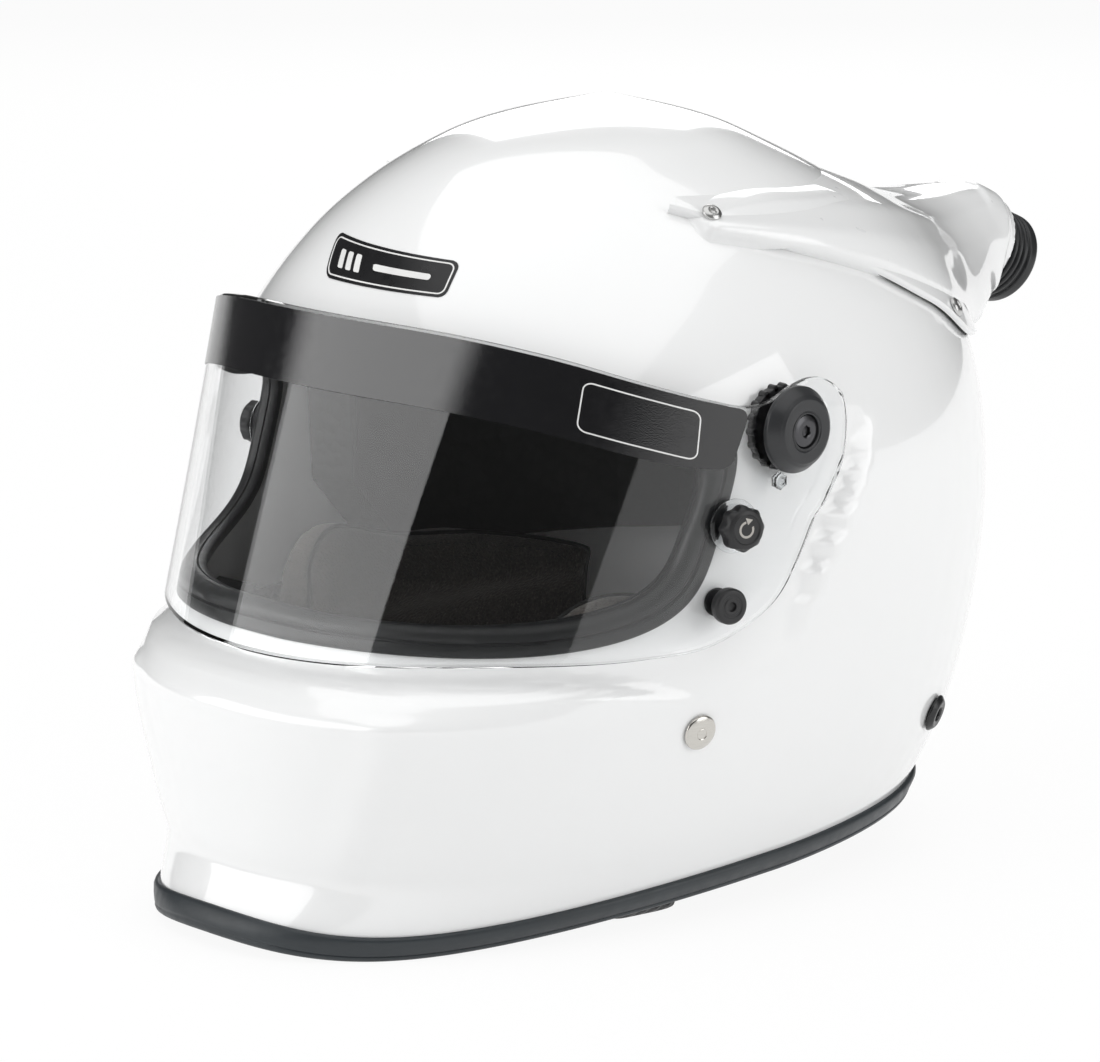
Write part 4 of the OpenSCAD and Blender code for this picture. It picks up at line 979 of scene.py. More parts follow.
def net_surface(f):
    """Faces of a grid's zero surface, points drawn onto it"""
    neg = f < 0
    n = np.array(f.shape) - 1
    corners = np.array(list(np.ndindex(2, 2, 2)))
    count = sum(neg[tuple(slice(c[k], n[k] + c[k]) for k in range(3))].astype(int) for c in corners)
    cell = np.argwhere((count > 0) & (count < 8))
    vals = np.stack([f[tuple((cell + c).T)] for c in corners], 1)
    total, weight = np.zeros((len(cell), 3)), np.zeros((len(cell), 1))
    for a in range(8):
        for b in range(a + 1, 8):
            if np.abs(corners[a] - corners[b]).sum() == 1:
                fa, fb = vals[:, a:a + 1], vals[:, b:b + 1]
                cross = (fa < 0) != (fb < 0)
                t = fa / np.where(cross, fa - fb, 1)
                total += np.where(cross, corners[a] + (corners[b] - corners[a]) * t, 0)
                weight += cross
    p = cell + total / weight
    index = np.full(n, -1)
    index[tuple(cell.T)] = np.arange(len(cell))
    quads = []
    for axis in range(3):
        u, v = np.eye(3, dtype=int)[(axis + 1) % 3], np.eye(3, dtype=int)[(axis + 2) % 3]
        low = [slice(1, -1)] * 3
        high = [slice(1, -1)] * 3
        low[axis], high[axis] = slice(0, -1), slice(1, None)
        a, b = neg[tuple(low)], neg[tuple(high)]
        base = np.ones(3, int)
        base[axis] = 0
        for state in (True, False):
            e = np.argwhere((a == state) & (b != state)) + base
            q = np.stack([index[tuple((e - s).T)] for s in (0 * u, u, u + v, v)], 1)
            quads.append(q if state else q[:, ::-1])
    g = np.gradient(f)
    for _ in range(3):
        d = np.stack([sampled(k, p) for k in g], 1)
        step = d * (sampled(f, p) / np.maximum((d * d).sum(1), 0.05))[:, None]
        p -= np.clip(step, -0.6, 0.6)
    return p, np.concatenate(quads)


# ---- Air duct
DUCT = {key: curve(t, 3) for key, t in {
    "edge_x": [[-23, 84], [-9, 90.5], [7, 95.5], [32, 98.5], [59, 97], [97, 84], [122, 70], [158, 47], [178, 36],
               [200, 27], [226, 20.5]],
    "edge_z": [[-23, 247], [-9, 245], [7, 242.5], [32, 238.5], [59, 233.5], [97, 225.5], [122, 220], [158, 214.5],
               [178, 214], [200, 212], [226, 204]],
    "foot_x": [[-23, 86], [-6, 92.5], [10, 97.5], [35, 101.5], [62, 101], [100, 93.5], [140, 71], [178, 44],
               [200, 28], [226, 17]],
    "foot_z": [[-23, 243], [-6, 239.5], [10, 235], [35, 229], [62, 220.5], [100, 206.5], [140, 189], [178, 190],
               [200, 190], [226, 188]],
    "top": [[-23, 254], [10, 254.5], [35, 254.5], [62, 253.5], [100, 246.5], [140, 235], [178, 229.5], [200, 229],
            [212, 227.6], [226, 221]],
    "low": [[-23, 236], [10, 228], [35, 205], [62, 192], [100, 184], [140, 182], [178, 184], [200, 184],
            [226, 179]]}.items()}
flange_low = curve([[60, 252], [68, 248.5], [79, 242.5], [93, 235.5], [104, 227], [112, 218.5], [118, 211],
                    [125, 203], [131, 193], [142, 187], [160, 182], [180, 180]], 1.5)
flange_top = curve([[60, 248], [68, 250], [76, 252.5], [90, 254], [110, 252], [180, 248]], 1)
FLANGE_T, DUCT_T, DUCT_GAP, COLLAR = 2.2, 2.5, 1.5, 6
PORT_R = NOZZLE_R + DUCT_T
PORT_N = np.array([0, math.cos(DIP), -math.sin(DIP)])
DUCT_SCREWS = [(76, 245.5), (128.5, 201.5)]
DUCT_CELL, DUCT_SOFT = 1.35, 2.4
FLANGE_ENDS, FEATHER = (67.2, 74), 7  # the flange's tip in degrees, and the height over which it thins out


def duct_section(y):
    """Half outline of the duct at a distance behind the ear line"""
    ex, ez, fx, fz, top, low = (float(DUCT[k](y)) for k in ("edge_x", "edge_z", "foot_x", "foot_z", "top", "low"))
    p = np.array([(0, top), (ex * 0.5, top - 0.1 * (top - ez)), (ex * 0.84, ez + 0.52 * (top - ez)), (ex, ez),
                  ((ex + fx) / 2 + 1, (ez + fz) / 2), (fx, fz), (fx * 0.7, low + 0.2 * (fz - low)), (0, low)])
    run = np.concatenate([[0], np.cumsum(np.hypot(*np.diff(p, axis=0).T))])
    s = np.linspace(0, run[-1], 100)
    q = np.stack([np.interp(s, run, p[:, k]) for k in (0, 1)], 1)
    n = int(8 / s[1]) + 2
    flip = np.array([-1, 1])
    q = np.concatenate([q[n:0:-1] * flip, q, q[-2:-n - 2:-1] * flip])
    return np.stack([np.convolve(q[:, k], bell(n, s[1], DUCT_SOFT), "valid") for k in (0, 1)], 1)


def outline_distance(px, pz, q):
    """Distance to a half outline closed along the middle plane, below 0 inside"""
    a, d = q[:-1], np.diff(q, axis=0)
    wx, wz = px[:, None] - a[:, 0], pz[:, None] - a[:, 1]
    t = np.clip((wx * d[:, 0] + wz * d[:, 1]) / (d * d).sum(1), 0, 1)
    near = np.sqrt(((wx - d[:, 0] * t) ** 2 + (wz - d[:, 1] * t) ** 2).min(1))
    crossed = (wz < 0) != (q[1:, 1] > pz[:, None])
    at = a[:, 0] + wz * d[:, 0] / np.where(d[:, 1] == 0, 1, d[:, 1])
    odd = (crossed & (at > px[:, None])).sum(1) % 2
    return np.where(odd == 1, -near, near)


def beyond_shell(x, y, z):
    """Share of the plan's reach by which a point lies outside the shell"""
    m, n = middle(z), square(z)
    reach = np.where(y < m, front(z) + m, rear(z) - m)
    across, along = (np.abs(x) / side(z)) ** (n / 2), (np.abs(y - m) / reach) ** (n / 2)
    return (across**2 + along**2) ** (1 / n) - 1


def true_distance(f, h):
    """Any field on a grid made a distance near its zero surface"""
    g = np.gradient(f, h)
    return f / np.maximum(np.sqrt(g[0] ** 2 + g[1] ** 2 + g[2] ** 2), 1e-6)


def duct_grid(h):
    """Half of the duct as distances, below 0 in its wall, and the grid's first y and z"""
    x, y, z = np.arange(0, 106, h), np.arange(-38, 224, h), np.arange(173, 260, h)
    xx, yy, zz = np.meshgrid(x, y, z, indexing="ij")
    body = np.empty(xx.shape)
    px, pz = (k.ravel() for k in np.meshgrid(x, z, indexing="ij"))
    for j, yj in enumerate(y):
        body[:, j] = outline_distance(px, pz, duct_section(min(max(yj, -22), 225))).reshape(len(x), len(z))
    s = (yy - DUCT_REACH) * PORT_N[1] + (zz - PORT_Z) * PORT_N[2]
    rise = (yy - DUCT_REACH) * -PORT_N[2] + (zz - PORT_Z) * PORT_N[1]
    radial = np.hypot(xx, rise)
    body = -soft_union(-body, soft_union(-s - 7, yy + 18, 1), 3)
    out = true_distance(beyond_shell(xx, yy, zz), h)
    tube = np.maximum(radial - PORT_R, -18 - s)
    fillet = np.maximum(soft_union(body, out + 1.4, 8), np.maximum(body - 6, 235 - zz))
    solid = soft_union(body, tube, 5)
    solid = np.minimum(-soft_union(-solid, -s, 1.2), fillet)
    hollow = np.maximum(soft_union(body + DUCT_T + 3.5, tube + DUCT_T, 4), 3 - out)
    solid = np.maximum(solid, -np.maximum(hollow, s + COLLAR))
    solid = np.maximum(solid, -np.maximum(radial - NOZZLE_R, -COLLAR - 3 - s))
    return np.maximum(solid, -2.4 - out), (y[0], z[0])


def build_flange():
    """Plate on the shell under the duct, its upper edge drawn down to nothing"""
    tip, full = FLANGE_ENDS
    a = np.concatenate([np.linspace(tip, full, 18), np.linspace(full, 360 - full, 260)[1:-1],
                        np.linspace(360 - full, 360 - tip, 18)])
    low, top = flange_low(fold(a)), flange_top(fold(a))
    top = np.minimum(top, low + 26 + 40 * (1 - blend((fold(a) - 112) / 12)))
    mid, tall = (low + top) / 2, np.maximum(top - low, 0.8)
    low, top = mid - tall / 2, mid + tall / 2
    face = DUCT_GAP + FLANGE_T - 1.2 * blend((fold(a) - 138) / 12)
    rings = []
    for rise, off in ((0.0, DUCT_GAP), (-0.1, DUCT_GAP + 1.2), (0.2, face - 0.45), (0.9, face)):
        rings.append(skin(a, low + rise * tall / (tall + 1), np.full_like(a, off)))
    for t in np.linspace(0.03, 1, 26):
        z = low + tall * t
        share = np.clip((top - z) / FEATHER, 0, 1) ** 0.8
        rings.append(skin(a, z, (face + 0.8) * share - 0.8))
    for t in np.linspace(1, 0.03, 14):
        z = low + tall * t
        share = np.clip((top - z) / FEATHER, 0, 1)
        rings.append(skin(a, z, (DUCT_GAP + 2) * share - 2))
    return swept("duct_flange", np.stack(rings, 1), DUCT_WHITE, closed=False, sharp=40)


def build_duct():
    half, (y0, z0) = duct_grid(DUCT_CELL)
    p, quads = net_surface(np.concatenate([half[:0:-1], half]))
    verts = p * DUCT_CELL + [-(len(half) - 1) * DUCT_CELL, y0 + EAR_Y, z0]
    body = finished("duct_body", verts, quads.tolist(), DUCT_WHITE, 0)
    give(joined("air_duct_shell", body, build_flange()), "root", "air_duct", slot="duct_white")

    a = np.linspace(78, 282, 260)
    low = flange_low(fold(a))
    rings = []
    for rise, off in ((0.9, 0.45), (0.7, 0.85), (0.9, 1.25), (6.0, 1.25), (6.2, 0.85), (6.0, 0.45)):
        rings.append(skin(a, np.minimum(low + rise, flange_top(fold(a)) - 0.2 + rise * 0.01), np.full_like(a, off)))
    give(swept("duct_seal_bead", np.stack(rings, 1), SEAL, closed=False, sharp=50), "root", "duct_seal",
         slot="seal_rubber")


def build_nozzle():
    bore = NOZZLE_R - 2.75
    outer = [(PORT_R - DUCT_T - 0.35, -COLLAR - 2), (PORT_R - DUCT_T - 0.35, 0.3)]
    pitch = (NOZZLE_LEN - 6) / 4
    for k in range(4):
        h = 0.5 + k * pitch
        outer += [(NOZZLE_R - 1.4, h), (NOZZLE_R - 0.2, h + 0.35), (NOZZLE_R, h + pitch * 0.5),
                  (NOZZLE_R - 1.3, h + pitch * 0.72)]
    outer += [(NOZZLE_R - 1.3, NOZZLE_LEN - 5.2), (NOZZLE_R, NOZZLE_LEN - 4.8), (NOZZLE_R + 0.1, NOZZLE_LEN - 1.2),
              (NOZZLE_R - 0.6, NOZZLE_LEN), (bore + 0.5, NOZZLE_LEN), (bore, NOZZLE_LEN - 0.6), (bore, -COLLAR - 2)]
    ob = turned("hose_nozzle_ribs", rounded(outer, 0.5, 2), HOSE_RUBBER, 96, 50)
    give(placed(ob, local((0, DUCT_REACH + EAR_Y, PORT_Z), PORT_N)), "root", "hose_nozzle", slot="nozzle_rubber")


# ---- Metal, knobs and pivots
def hex_cos(w):
    return np.cos(np.radians((w + 30) % 60 - 30))


def hex_wave(r_hex):
    """Turns a round recess into a six-sided one"""
    return lambda w, r, _: np.where((r > 0.01) & (r <= r_hex + 0.01), np.cos(np.pi / 6) / hex_cos(w), 1.0)


def screw_head(name, r, t, hex_r, mat, shank=None, dome=0.3):
    """Round head with a hexagon recess; its top is at 0"""
    low = [(shank[0], -t), (shank[0], -t - shank[1]), (0, -t - shank[1])] if shank else [(0, -t)]
    profile = [(0, -t * 0.55), (hex_r, -t * 0.55), (hex_r, -dome * 0.4), (hex_r + 0.5, 0), (r * 0.7, -dome * 0.3),
               (r, -dome - 0.3), (r, -t)] + low
    return turned(name, rounded(profile, 0.25, 2), mat, 72, 40, hex_wave(hex_r))


def joined(name, *obs):
    """One mesh from several objects, each keeping its material"""
    bm = bmesh.new()
    mats = []
    for ob in obs:
        mat = ob.data.materials[0]
        if mat not in mats:
            mats.append(mat)
        start = len(bm.faces)
        bm.from_mesh(ob.data)
        bm.faces.ensure_lookup_table()
        for f in bm.faces[start:]:
            f.material_index = mats.index(mat)
    me = bpy.data.meshes.new(name)
    bm.to_mesh(me)
    bm.free()
    for m in mats:
        me.materials.append(m)
    for ob in obs:
        bpy.data.objects.remove(ob)
    return linked(name, me)


def visor_side(fwd, z):
    """Point and outward direction on the visor's side"""
    def x(y, z):
        u = np.minimum(1, np.maximum(0, VISOR_FLAT - y) / (visor_reach(z) + VISOR_FLAT))
        return VISOR_HALF * (1 - u**VISOR_SQUARE) ** (1 / VISOR_SQUARE)
    n = np.cross([x(1 - fwd, z) - x(-1 - fwd, z), 2, 0], [x(-fwd, z + 1) - x(-fwd, z - 1), 0, 2])
    return np.array([x(-fwd, z), EAR_Y - fwd, z]), n / np.linalg.norm(n)


CAP_X = VISOR_HALF + 0.2
POST, LOCK, NUB_AT = (47, 149), (51, 122), (28.6, 162.6)  # forward of the ear line and height


def build_pivots():
    side_on = local((CAP_X, PIVOT_Y, PIVOT_Z), (1, 0, 0))
    profile = [(2.6, 0), (CAP_R - 0.7, 0), (CAP_R, 0.7), (CAP_R, CAP_T * 0.33), (CAP_R - 2.7, CAP_T - 1.1),
               (CAP_R - 3.5, CAP_T - 0.6), (CAP_R - 4.1, CAP_T - 0.1), (7.3, CAP_T - 0.25), (6.9, CAP_T - 0.75),
               (6.5, CAP_T - 0.3), (6.0, CAP_T - 0.4), (5.95, CAP_T - 3.3), (2.6, CAP_T - 3.3)]
    cap = turned("pivot_cap", rounded(profile, 0.35), PIVOT_CAP, 120, 45)
    pair(placed(cap, side_on), "root", "pivot_cap", "pivot_black")
    screw = screw_head("pivot_screw", 5.6, 3, 2.1, SCREW_DARK, (2.4, CAP_T + 8), 0.25)
    pair(placed(screw, side_on @ lifted(CAP_T - 0.35)), "root", "pivot_screw", "screw_dark")

    plate_t = 3.3
    low = PIVOT_FLOOR + 0.1
    collar = CAP_X - low - 0.1
    profile = [(2.6, 0), (14.1, 0), (14.1, plate_t), (8.6, plate_t), (8.6, collar), (2.6, collar)]
    plate = turned("pivot_base", rounded(profile, 0.3, 2), PIVOT, 96, 40)
    tooth = turned("tooth", rounded([(0, 0), (1.5, 0), (1.3, plate_t), (0, plate_t)], 0.3, 1), PIVOT, 10, 40)
    plate = grown(plate, RING, tooth, PIVOT, Count=18, Radius=13.6 * MM)
    pair(placed(plate, local((low, PIVOT_Y, PIVOT_Z), (1, 0, 0))), "root", "pivot_base", "pivot_black")


def arrow_mark(mat):
    """Open ring with an arrow head, a plain sign for turning"""
    w = np.linspace(60, 345, 40)
    outer = np.stack([2.95 * cosd(w), 2.95 * sind(w)], 1)
    inner = np.stack([2.15 * cosd(w), 2.15 * sind(w)], 1)
    tip = np.array([[1.35, 1.0], [3.9, 1.3], [2.1, 3.6]])
    verts, faces = [], []
    for level in (0.0, 0.12):
        verts += [(*q, level) for q in np.concatenate([outer, inner, tip])]
    n, m = len(w), len(w) * 2 + 3
    for k in range(n - 1):
        faces += [(k, k + 1, n + k + 1, n + k), (m + k, m + n + k, m + n + k + 1, m + k + 1),
                  (k, m + k, m + k + 1, k + 1), (n + k, n + k + 1, m + n + k + 1, m + n + k)]
    faces += [(0, n, m + n, m), (n - 1, m + n - 1, m + 2 * n - 1, 2 * n - 1)]
    a = 2 * n
    faces += [(a, a + 1, a + 2), (m + a, m + a + 2, m + a + 1)]
    faces += [(a + k, m + a + k, m + a + (k + 1) % 3, a + (k + 1) % 3) for k in range(3)]
    ob = finished("arrow", np.array(verts), faces, mat, 30, closed=False)
    bm = bmesh.new()
    bm.from_mesh(ob.data)
    bmesh.ops.recalc_face_normals(bm, faces=bm.faces)
    bm.to_mesh(ob.data)
    bm.free()
    return ob


def build_tear_offs():
    on = local(*visor_side(*POST))
    profile = [(0, -3), (3.6, -3), (3.6, -2), (2, -2), (2, 6.1), (0, 6.1)]
    stud = turned("tear_off_stud", rounded(profile, 0.25, 2), POST_METAL, 40, 40)
    pair(placed(stud, on), "visor", "tear_off_stud", "post_metal")
    profile = [(2.1, 0.3), (9.4, 0.3), (9.5, 0.7), (8.2, 1.15), (2.1, 1.2)]
    washer = turned("tear_off_washer", rounded(profile, 0.25), WASHER, 72, 50)
    pair(placed(washer, on), "visor", "tear_off_washer", "washer_clear")

    def lobes(w, r, h):
        fade = np.clip((h - 1.6) / 1.2, 0, 1) * np.clip((7.9 - h) / 0.8, 0, 1)
        return 1 + np.where(r > 6, 0.055 * cosd(w * 8) * fade, 0)

    profile = [(2.15, 1.3), (5.2, 1.3), (5.4, 2.3), (7.4, 2.9), (7.75, 4.2), (7.75, 7.1), (6.8, 8.6), (5.3, 9.2),
               (5.1, 8.9), (4.9, 8.7), (0, 8.7), (0, 6.3), (2.15, 6.3)]
    knob = turned("tear_off_knob", rounded(profile, 0.35), KNOB, 160, 45, lobes)
    mark = placed(arrow_mark(MARK), lifted(8.66) @ Matrix.Rotation(math.radians(35), 4, "Z"))
    pair(placed(joined("tear_off_knob", knob, mark), on), "knob_left", "tear_off_knob", "knob_black")

    on = local(*visor_side(*LOCK))
    profile = [(0, -2.5), (4, -2.5), (4, -1.9), (2.6, -1.9), (2.6, 1.5), (5.9, 1.5), (6.3, 2), (6.3, 4.8), (5.6, 5.5),
               (4.1, 5.55), (3.9, 5.3), (3.1, 5.3), (2.9, 5.5), (1.7, 5.5), (1.6, 4.1), (0, 4.1)]
    press = turned("lock_button", rounded(profile, 0.25, 2), KNOB, 96, 40, hex_wave(1.6))
    give(placed(press, on), "lock_button", "lock_button", slot="knob_black")
    profile = [(0, -5.9), (5, -5.9), (5, -4.95), (3, -4.9), (2.9, -5.4), (0, -5.4)]
    strike = turned("lock_strike", rounded(profile, 0.2, 2), KNOB, 48, 40)
    give(placed(strike, on), "root", "lock_strike", slot="knob_black")


def shell_spot(a, z):
    return local(skin(a, z), outward(a, z))


def build_fasteners():
    on = shell_spot(*RIVET_AT)
    profile = [(0, -8.4), (2.5, -8.4), (2.5, 0.35), (6.2, 0.35), (6.5, 0.8), (6.2, 1.5), (4.6, 2.1), (2.3, 2.35),
               (2.0, 2.05), (1.6, 2.25), (0, 2.35)]
    rivet = turned("strap_rivet", rounded(profile, 0.3), NICKEL, 72, 50)
    pair(placed(rivet, on), "root", "strap_rivet", "rivet_nickel")
    washer = turned("rivet_washer", rounded([(2.6, -7.9), (6, -7.9), (6, -6.9), (2.6, -6.9)], 0.3, 2), NICKEL, 48, 40)
    pair(placed(washer, on), "root", "rivet_washer", "rivet_nickel")
    profile = [(2.5, -5), (5.5, -5), (5.5, 0.55), (6.8, 0.55), (7, 0.9), (6.9, 1.4), (5.5, 2.7), (4.9, 3.0),
               (4.2, 2.8), (3.1, 2.8), (2.5, 2.3)]
    anchor = turned("tether_anchor", rounded(profile, 0.3), ANODISED, 72, 50)
    pair(placed(anchor, shell_spot(*ANCHOR_AT)), "root", "tether_anchor", "anchor_black")
    heads = []
    for spot in DUCT_SCREWS:
        head = screw_head("duct_screw", 3.6, 1.9, 1.35, SCREW_BRIGHT, (1.6, 6), 0.55)
        placed(head, shell_spot(*spot) @ lifted(DUCT_GAP + FLANGE_T + 2.1))
        heads += [head, mirrored(head, "duct_screw_far")]
    give(joined("duct_screw_set", *heads), "root", "duct_screws", slot="screw_bright")


# ---- Sewn pads
def swell(u):
    return 1 - np.abs(2 * u - 1) ** 3


def pad_form(a0, a1, low, high, seat, depth, drawn, place, cols=40, rows=30, slack=1.6):
    """Closed form of a pad, a little smaller than its solid: points, faces and the line of its inner edge"""
    low, high = curve(low), curve(high)
    margin = slack / (a1 - a0)
    u, v = np.meshgrid(np.linspace(margin, 1 - margin, cols), np.linspace(0, 1, rows))
    a = a0 + (a1 - a0) * u
    z0, z1 = low(a) + slack, high(a) - slack
    z = z0 + (z1 - z0) * v
    s, c = seat(a, z), np.maximum(swell(u) * swell(v), 1e-6)
    outer = place(a, z, s + slack * 0.6 + drawn * 4 * (1 - c**0.25))
    inner = place(a, z, s + (depth - slack) * (1 - drawn + drawn * c**0.5))
    verts, faces = thick(outer.reshape(-1, 3), inner.reshape(-1, 3), [grid_faces(rows, cols)])
    rim = np.concatenate([inner[0], inner[1:, -1], inner[-1, -2::-1], inner[-2:0:-1, 0]])
    return verts, faces, rim


def level(d):
    """Seat of a pad at one depth"""
    return lambda a, _: d + 0 * a


def padded_place(a, z, d):
    p = lined(a, z, -d)
    return np.stack([p[..., 0], p[..., 1], z + (p[..., 2] - z) * blend(z / 90)], -1)


def filled(ob, voxel=0.005, most=0.006):
    """Blows the form up as cloth, no further than a limit, and smooths it"""
    mat = ob.data.materials[0]
    scene = bpy.context.scene

    def as_it_is():
        bpy.context.view_layer.update()
        return bpy.data.meshes.new_from_object(ob.evaluated_get(bpy.context.evaluated_depsgraph_get()))

    mod = ob.modifiers.new("remesh", "REMESH")
    mod.mode, mod.voxel_size, mod.use_smooth_shade = "VOXEL", voxel, True
    me = as_it_is()
    ob.modifiers.remove(mod)
    ob.data = me
    cloth = ob.modifiers.new("fill", "CLOTH")
    cloth.settings.use_pressure = True
    cloth.settings.uniform_pressure_force = 4
    cloth.settings.effector_weights.gravity = 0
    cloth.settings.quality = 4
    cloth.point_cache.frame_start, cloth.point_cache.frame_end = 1, 20
    for frame_number in range(1, 21):
        scene.frame_set(frame_number)
    blown = as_it_is()
    ob.modifiers.remove(cloth)
    scene.frame_set(1)
    old, new = np.empty(len(me.vertices) * 3), np.empty(len(me.vertices) * 3)
    me.vertices.foreach_get("co", old)
    blown.vertices.foreach_get("co", new)
    move = (new - old).reshape(-1, 3)
    far = np.linalg.norm(move, axis=1, keepdims=True)
    me.vertices.foreach_set("co", (old.reshape(-1, 3) + move * np.minimum(1, most / np.maximum(far, 1e-9))).ravel())
    mod = ob.modifiers.new("smooth", "SUBSURF")
    mod.levels = mod.render_levels = 1
    me = as_it_is()
    ob.modifiers.remove(mod)
    me.materials.clear()
    me.materials.append(mat)
    me.shade_smooth()
    ob.data = me
    return ob


def on_surface(ob, path, lift):
    """Path in millimetres laid on a piece, and the directions away from it"""
    spots, ways = [], []
    for q in np.asarray(path, float):
        _, at, n, _ = ob.closest_point_on_mesh(Vector(q * MM))
        spots.append(np.array(at) / MM + np.array(n) * lift)
        ways.append(np.array(n))
    return np.array(spots), np.array(ways)


def evened(path, step=2.0, soft=3.0, closed=False):
    """Path resampled at even steps and rounded"""
    p = np.asarray(path, float)
    if closed:
        p = np.concatenate([p, p[:1]])
    run = run_along(p)
    n = max(int(run[-1] / step), 4)
    s = np.linspace(0, run[-1], n + 1)
    q = np.stack([np.interp(s, run, p[:, k]) for k in range(3)], 1)
    r = int(3 * soft / step) + 1
    if closed:
        q = q[:-1]
        w = np.concatenate([q[-r:], q, q[:r]])
    else:
        w = np.concatenate([2 * q[0] - q[r:0:-1], q, 2 * q[-1] - q[-2:-r - 2:-1]])
    return np.stack([np.convolve(w[:, k], bell(r, step, soft), "valid") for k in range(3)], 1)


def tube(name, path, r, mat, sides=8):
    """Round bead along a closed path"""
    p = np.asarray(path, float)
    t = unit(np.roll(p, -1, 0) - np.roll(p, 1, 0))
    u = np.cross(t[0], [0.3, 0.2, 0.93])
    us = []
    for k in range(len(p)):
        u = unit(u - t[k] * np.dot(u, t[k]))
        us.append(u)
    us = np.array(us)
    w = np.cross(t, us)
    ang = np.arange(sides) * 360 / sides
    rings = p[:, None] + r * (us[:, None] * cosd(ang)[None, :, None] + w[:, None] * sind(ang)[None, :, None])
    return swept(name, rings, mat, sharp=0)


def inset(path, middle, by):
    """Path drawn in towards a middle point"""
    d = middle - path
    return path + d / np.linalg.norm(d, axis=1, keepdims=True) * by


def sewn(ob, rim, by):
    """Piping round the pad's edge and a row of stitches inside it"""
    rim = evened(rim, 2.0, 4.0, True)
    edge_line = on_surface(ob, rim, 0.35)[0]
    piping = tube(ob.name + "_piping", evened(edge_line, 2.0, 2.5, True), 0.95, PIPING)
    inner, ways = on_surface(ob, inset(rim, rim.mean(0), by), 0.12)
    stitches = stitched(ob.name + "_stitches", np.concatenate([inner, inner[:1]]), np.concatenate([ways, ways[:1]]),
                        THREAD, 3.4)
    return piping, stitches


def cushion(ob, node):
    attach(ob, "root")
    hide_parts(node)


def build_pad(name, mat, form, voxel, most, mirror=False, seam=True, by=9.0):
    verts, faces, rim = form
    ob = filled(finished(name, verts, faces, mat, 0), voxel, most)
    parts = [ob]
    if seam:
        parts += sewn(ob, rim, by)
    sets = {name: parts}
    if mirror:
        others = [mirrored(p, p.name + "_right") for p in parts]
        for p in parts:
            p.name += "_left"
        sets = {name + "_left": parts, name + "_right": others}
    for node, pieces in sets.items():
        cushion(pieces[0], node)
        for p in pieces[1:]:
            give(p, "root", slot="pad_fabric")


LINER_FACE, CHIN_FACE = SHELL_T + 1.2 + 22, SHELL_T + 1.2 + 16
CHEEK_H, CHIN_LOW, CHIN_HIGH = 122, 44, PORT_LOW - 13


def cheek_seat(a, z):
    up, fore = blend((z - 68) / 14), 1 - blend((a - 61) / 7)
    wall = SHELL_T + 6.9
    return np.maximum(wall + (LINER_FACE + 2.5 - wall) * up, (CHIN_FACE + 2.5) * fore)


def chin_place(a, z, d):
    v = ((z - CHIN_LOW) / (CHIN_HIGH - CHIN_LOW))[..., None]
    return lined(a, 0 * z + CHIN_LOW, -d) * (1 - v) + lined(a, 0 * z + CHIN_HIGH, -d) * v


def build_pads():
    cheek = pad_form(47, 126, [[47, 18], [62, 4], [70, 7], [86, 7], [93, 2], [98, 1], [110, 1], [126, 1]],
                     [[47, CHEEK_H - 8], [60, CHEEK_H], [74, CHEEK_H - 6], [86, CHEEK_H - 16], [100, CHEEK_H - 24],
                      [126, CHEEK_H - 38]], cheek_seat, 30, 0.55, padded_place)
    build_pad("cheek_pad", FABRIC, cheek, 0.0045, 0.003, mirror=True, by=11)
    brow = pad_form(-58, 58, [[-58, PORT_HIGH + 7], [0, PORT_HIGH + 10], [58, PORT_HIGH + 7]],
                    [[-58, PORT_HIGH + 19], [0, PORT_HIGH + 26], [58, PORT_HIGH + 19]],
                    level(LINER_FACE + 1.2), 9, 0.5, padded_place, 72, 14, 0.8)
    build_pad("brow_pad", LINING_DARK_WITH_PAINTED_SHADE, brow, 0.004, 0.0015, seam=False)
    chin = pad_form(-26, 26, [[-26, CHIN_LOW + 8], [0, CHIN_LOW], [26, CHIN_LOW + 8]],
                    [[-26, CHIN_HIGH - 3], [0, CHIN_HIGH], [26, CHIN_HIGH - 3]],
                    level(CHIN_FACE + 1.2), 12, 0.5, chin_place, 40, 22, 1.0)
    build_pad("chin_pad", LINING_DARK_WITH_PAINTED_SHADE, chin, 0.004, 0.002, by=7)
    neck = pad_form(132, 228, [[132, 0.5], [180, 0.5], [228, 0.5]], [[132, 40], [145, 48], [215, 48], [228, 40]],
                    level(SHELL_T + TRIM_T + 2.5), 20, 0.5, padded_place, 72, 24, 1.4)
    build_pad("neck_roll", LINING_DARK_WITH_PAINTED_SHADE, neck, 0.005, 0.003, by=10)
    build_crown_pad()


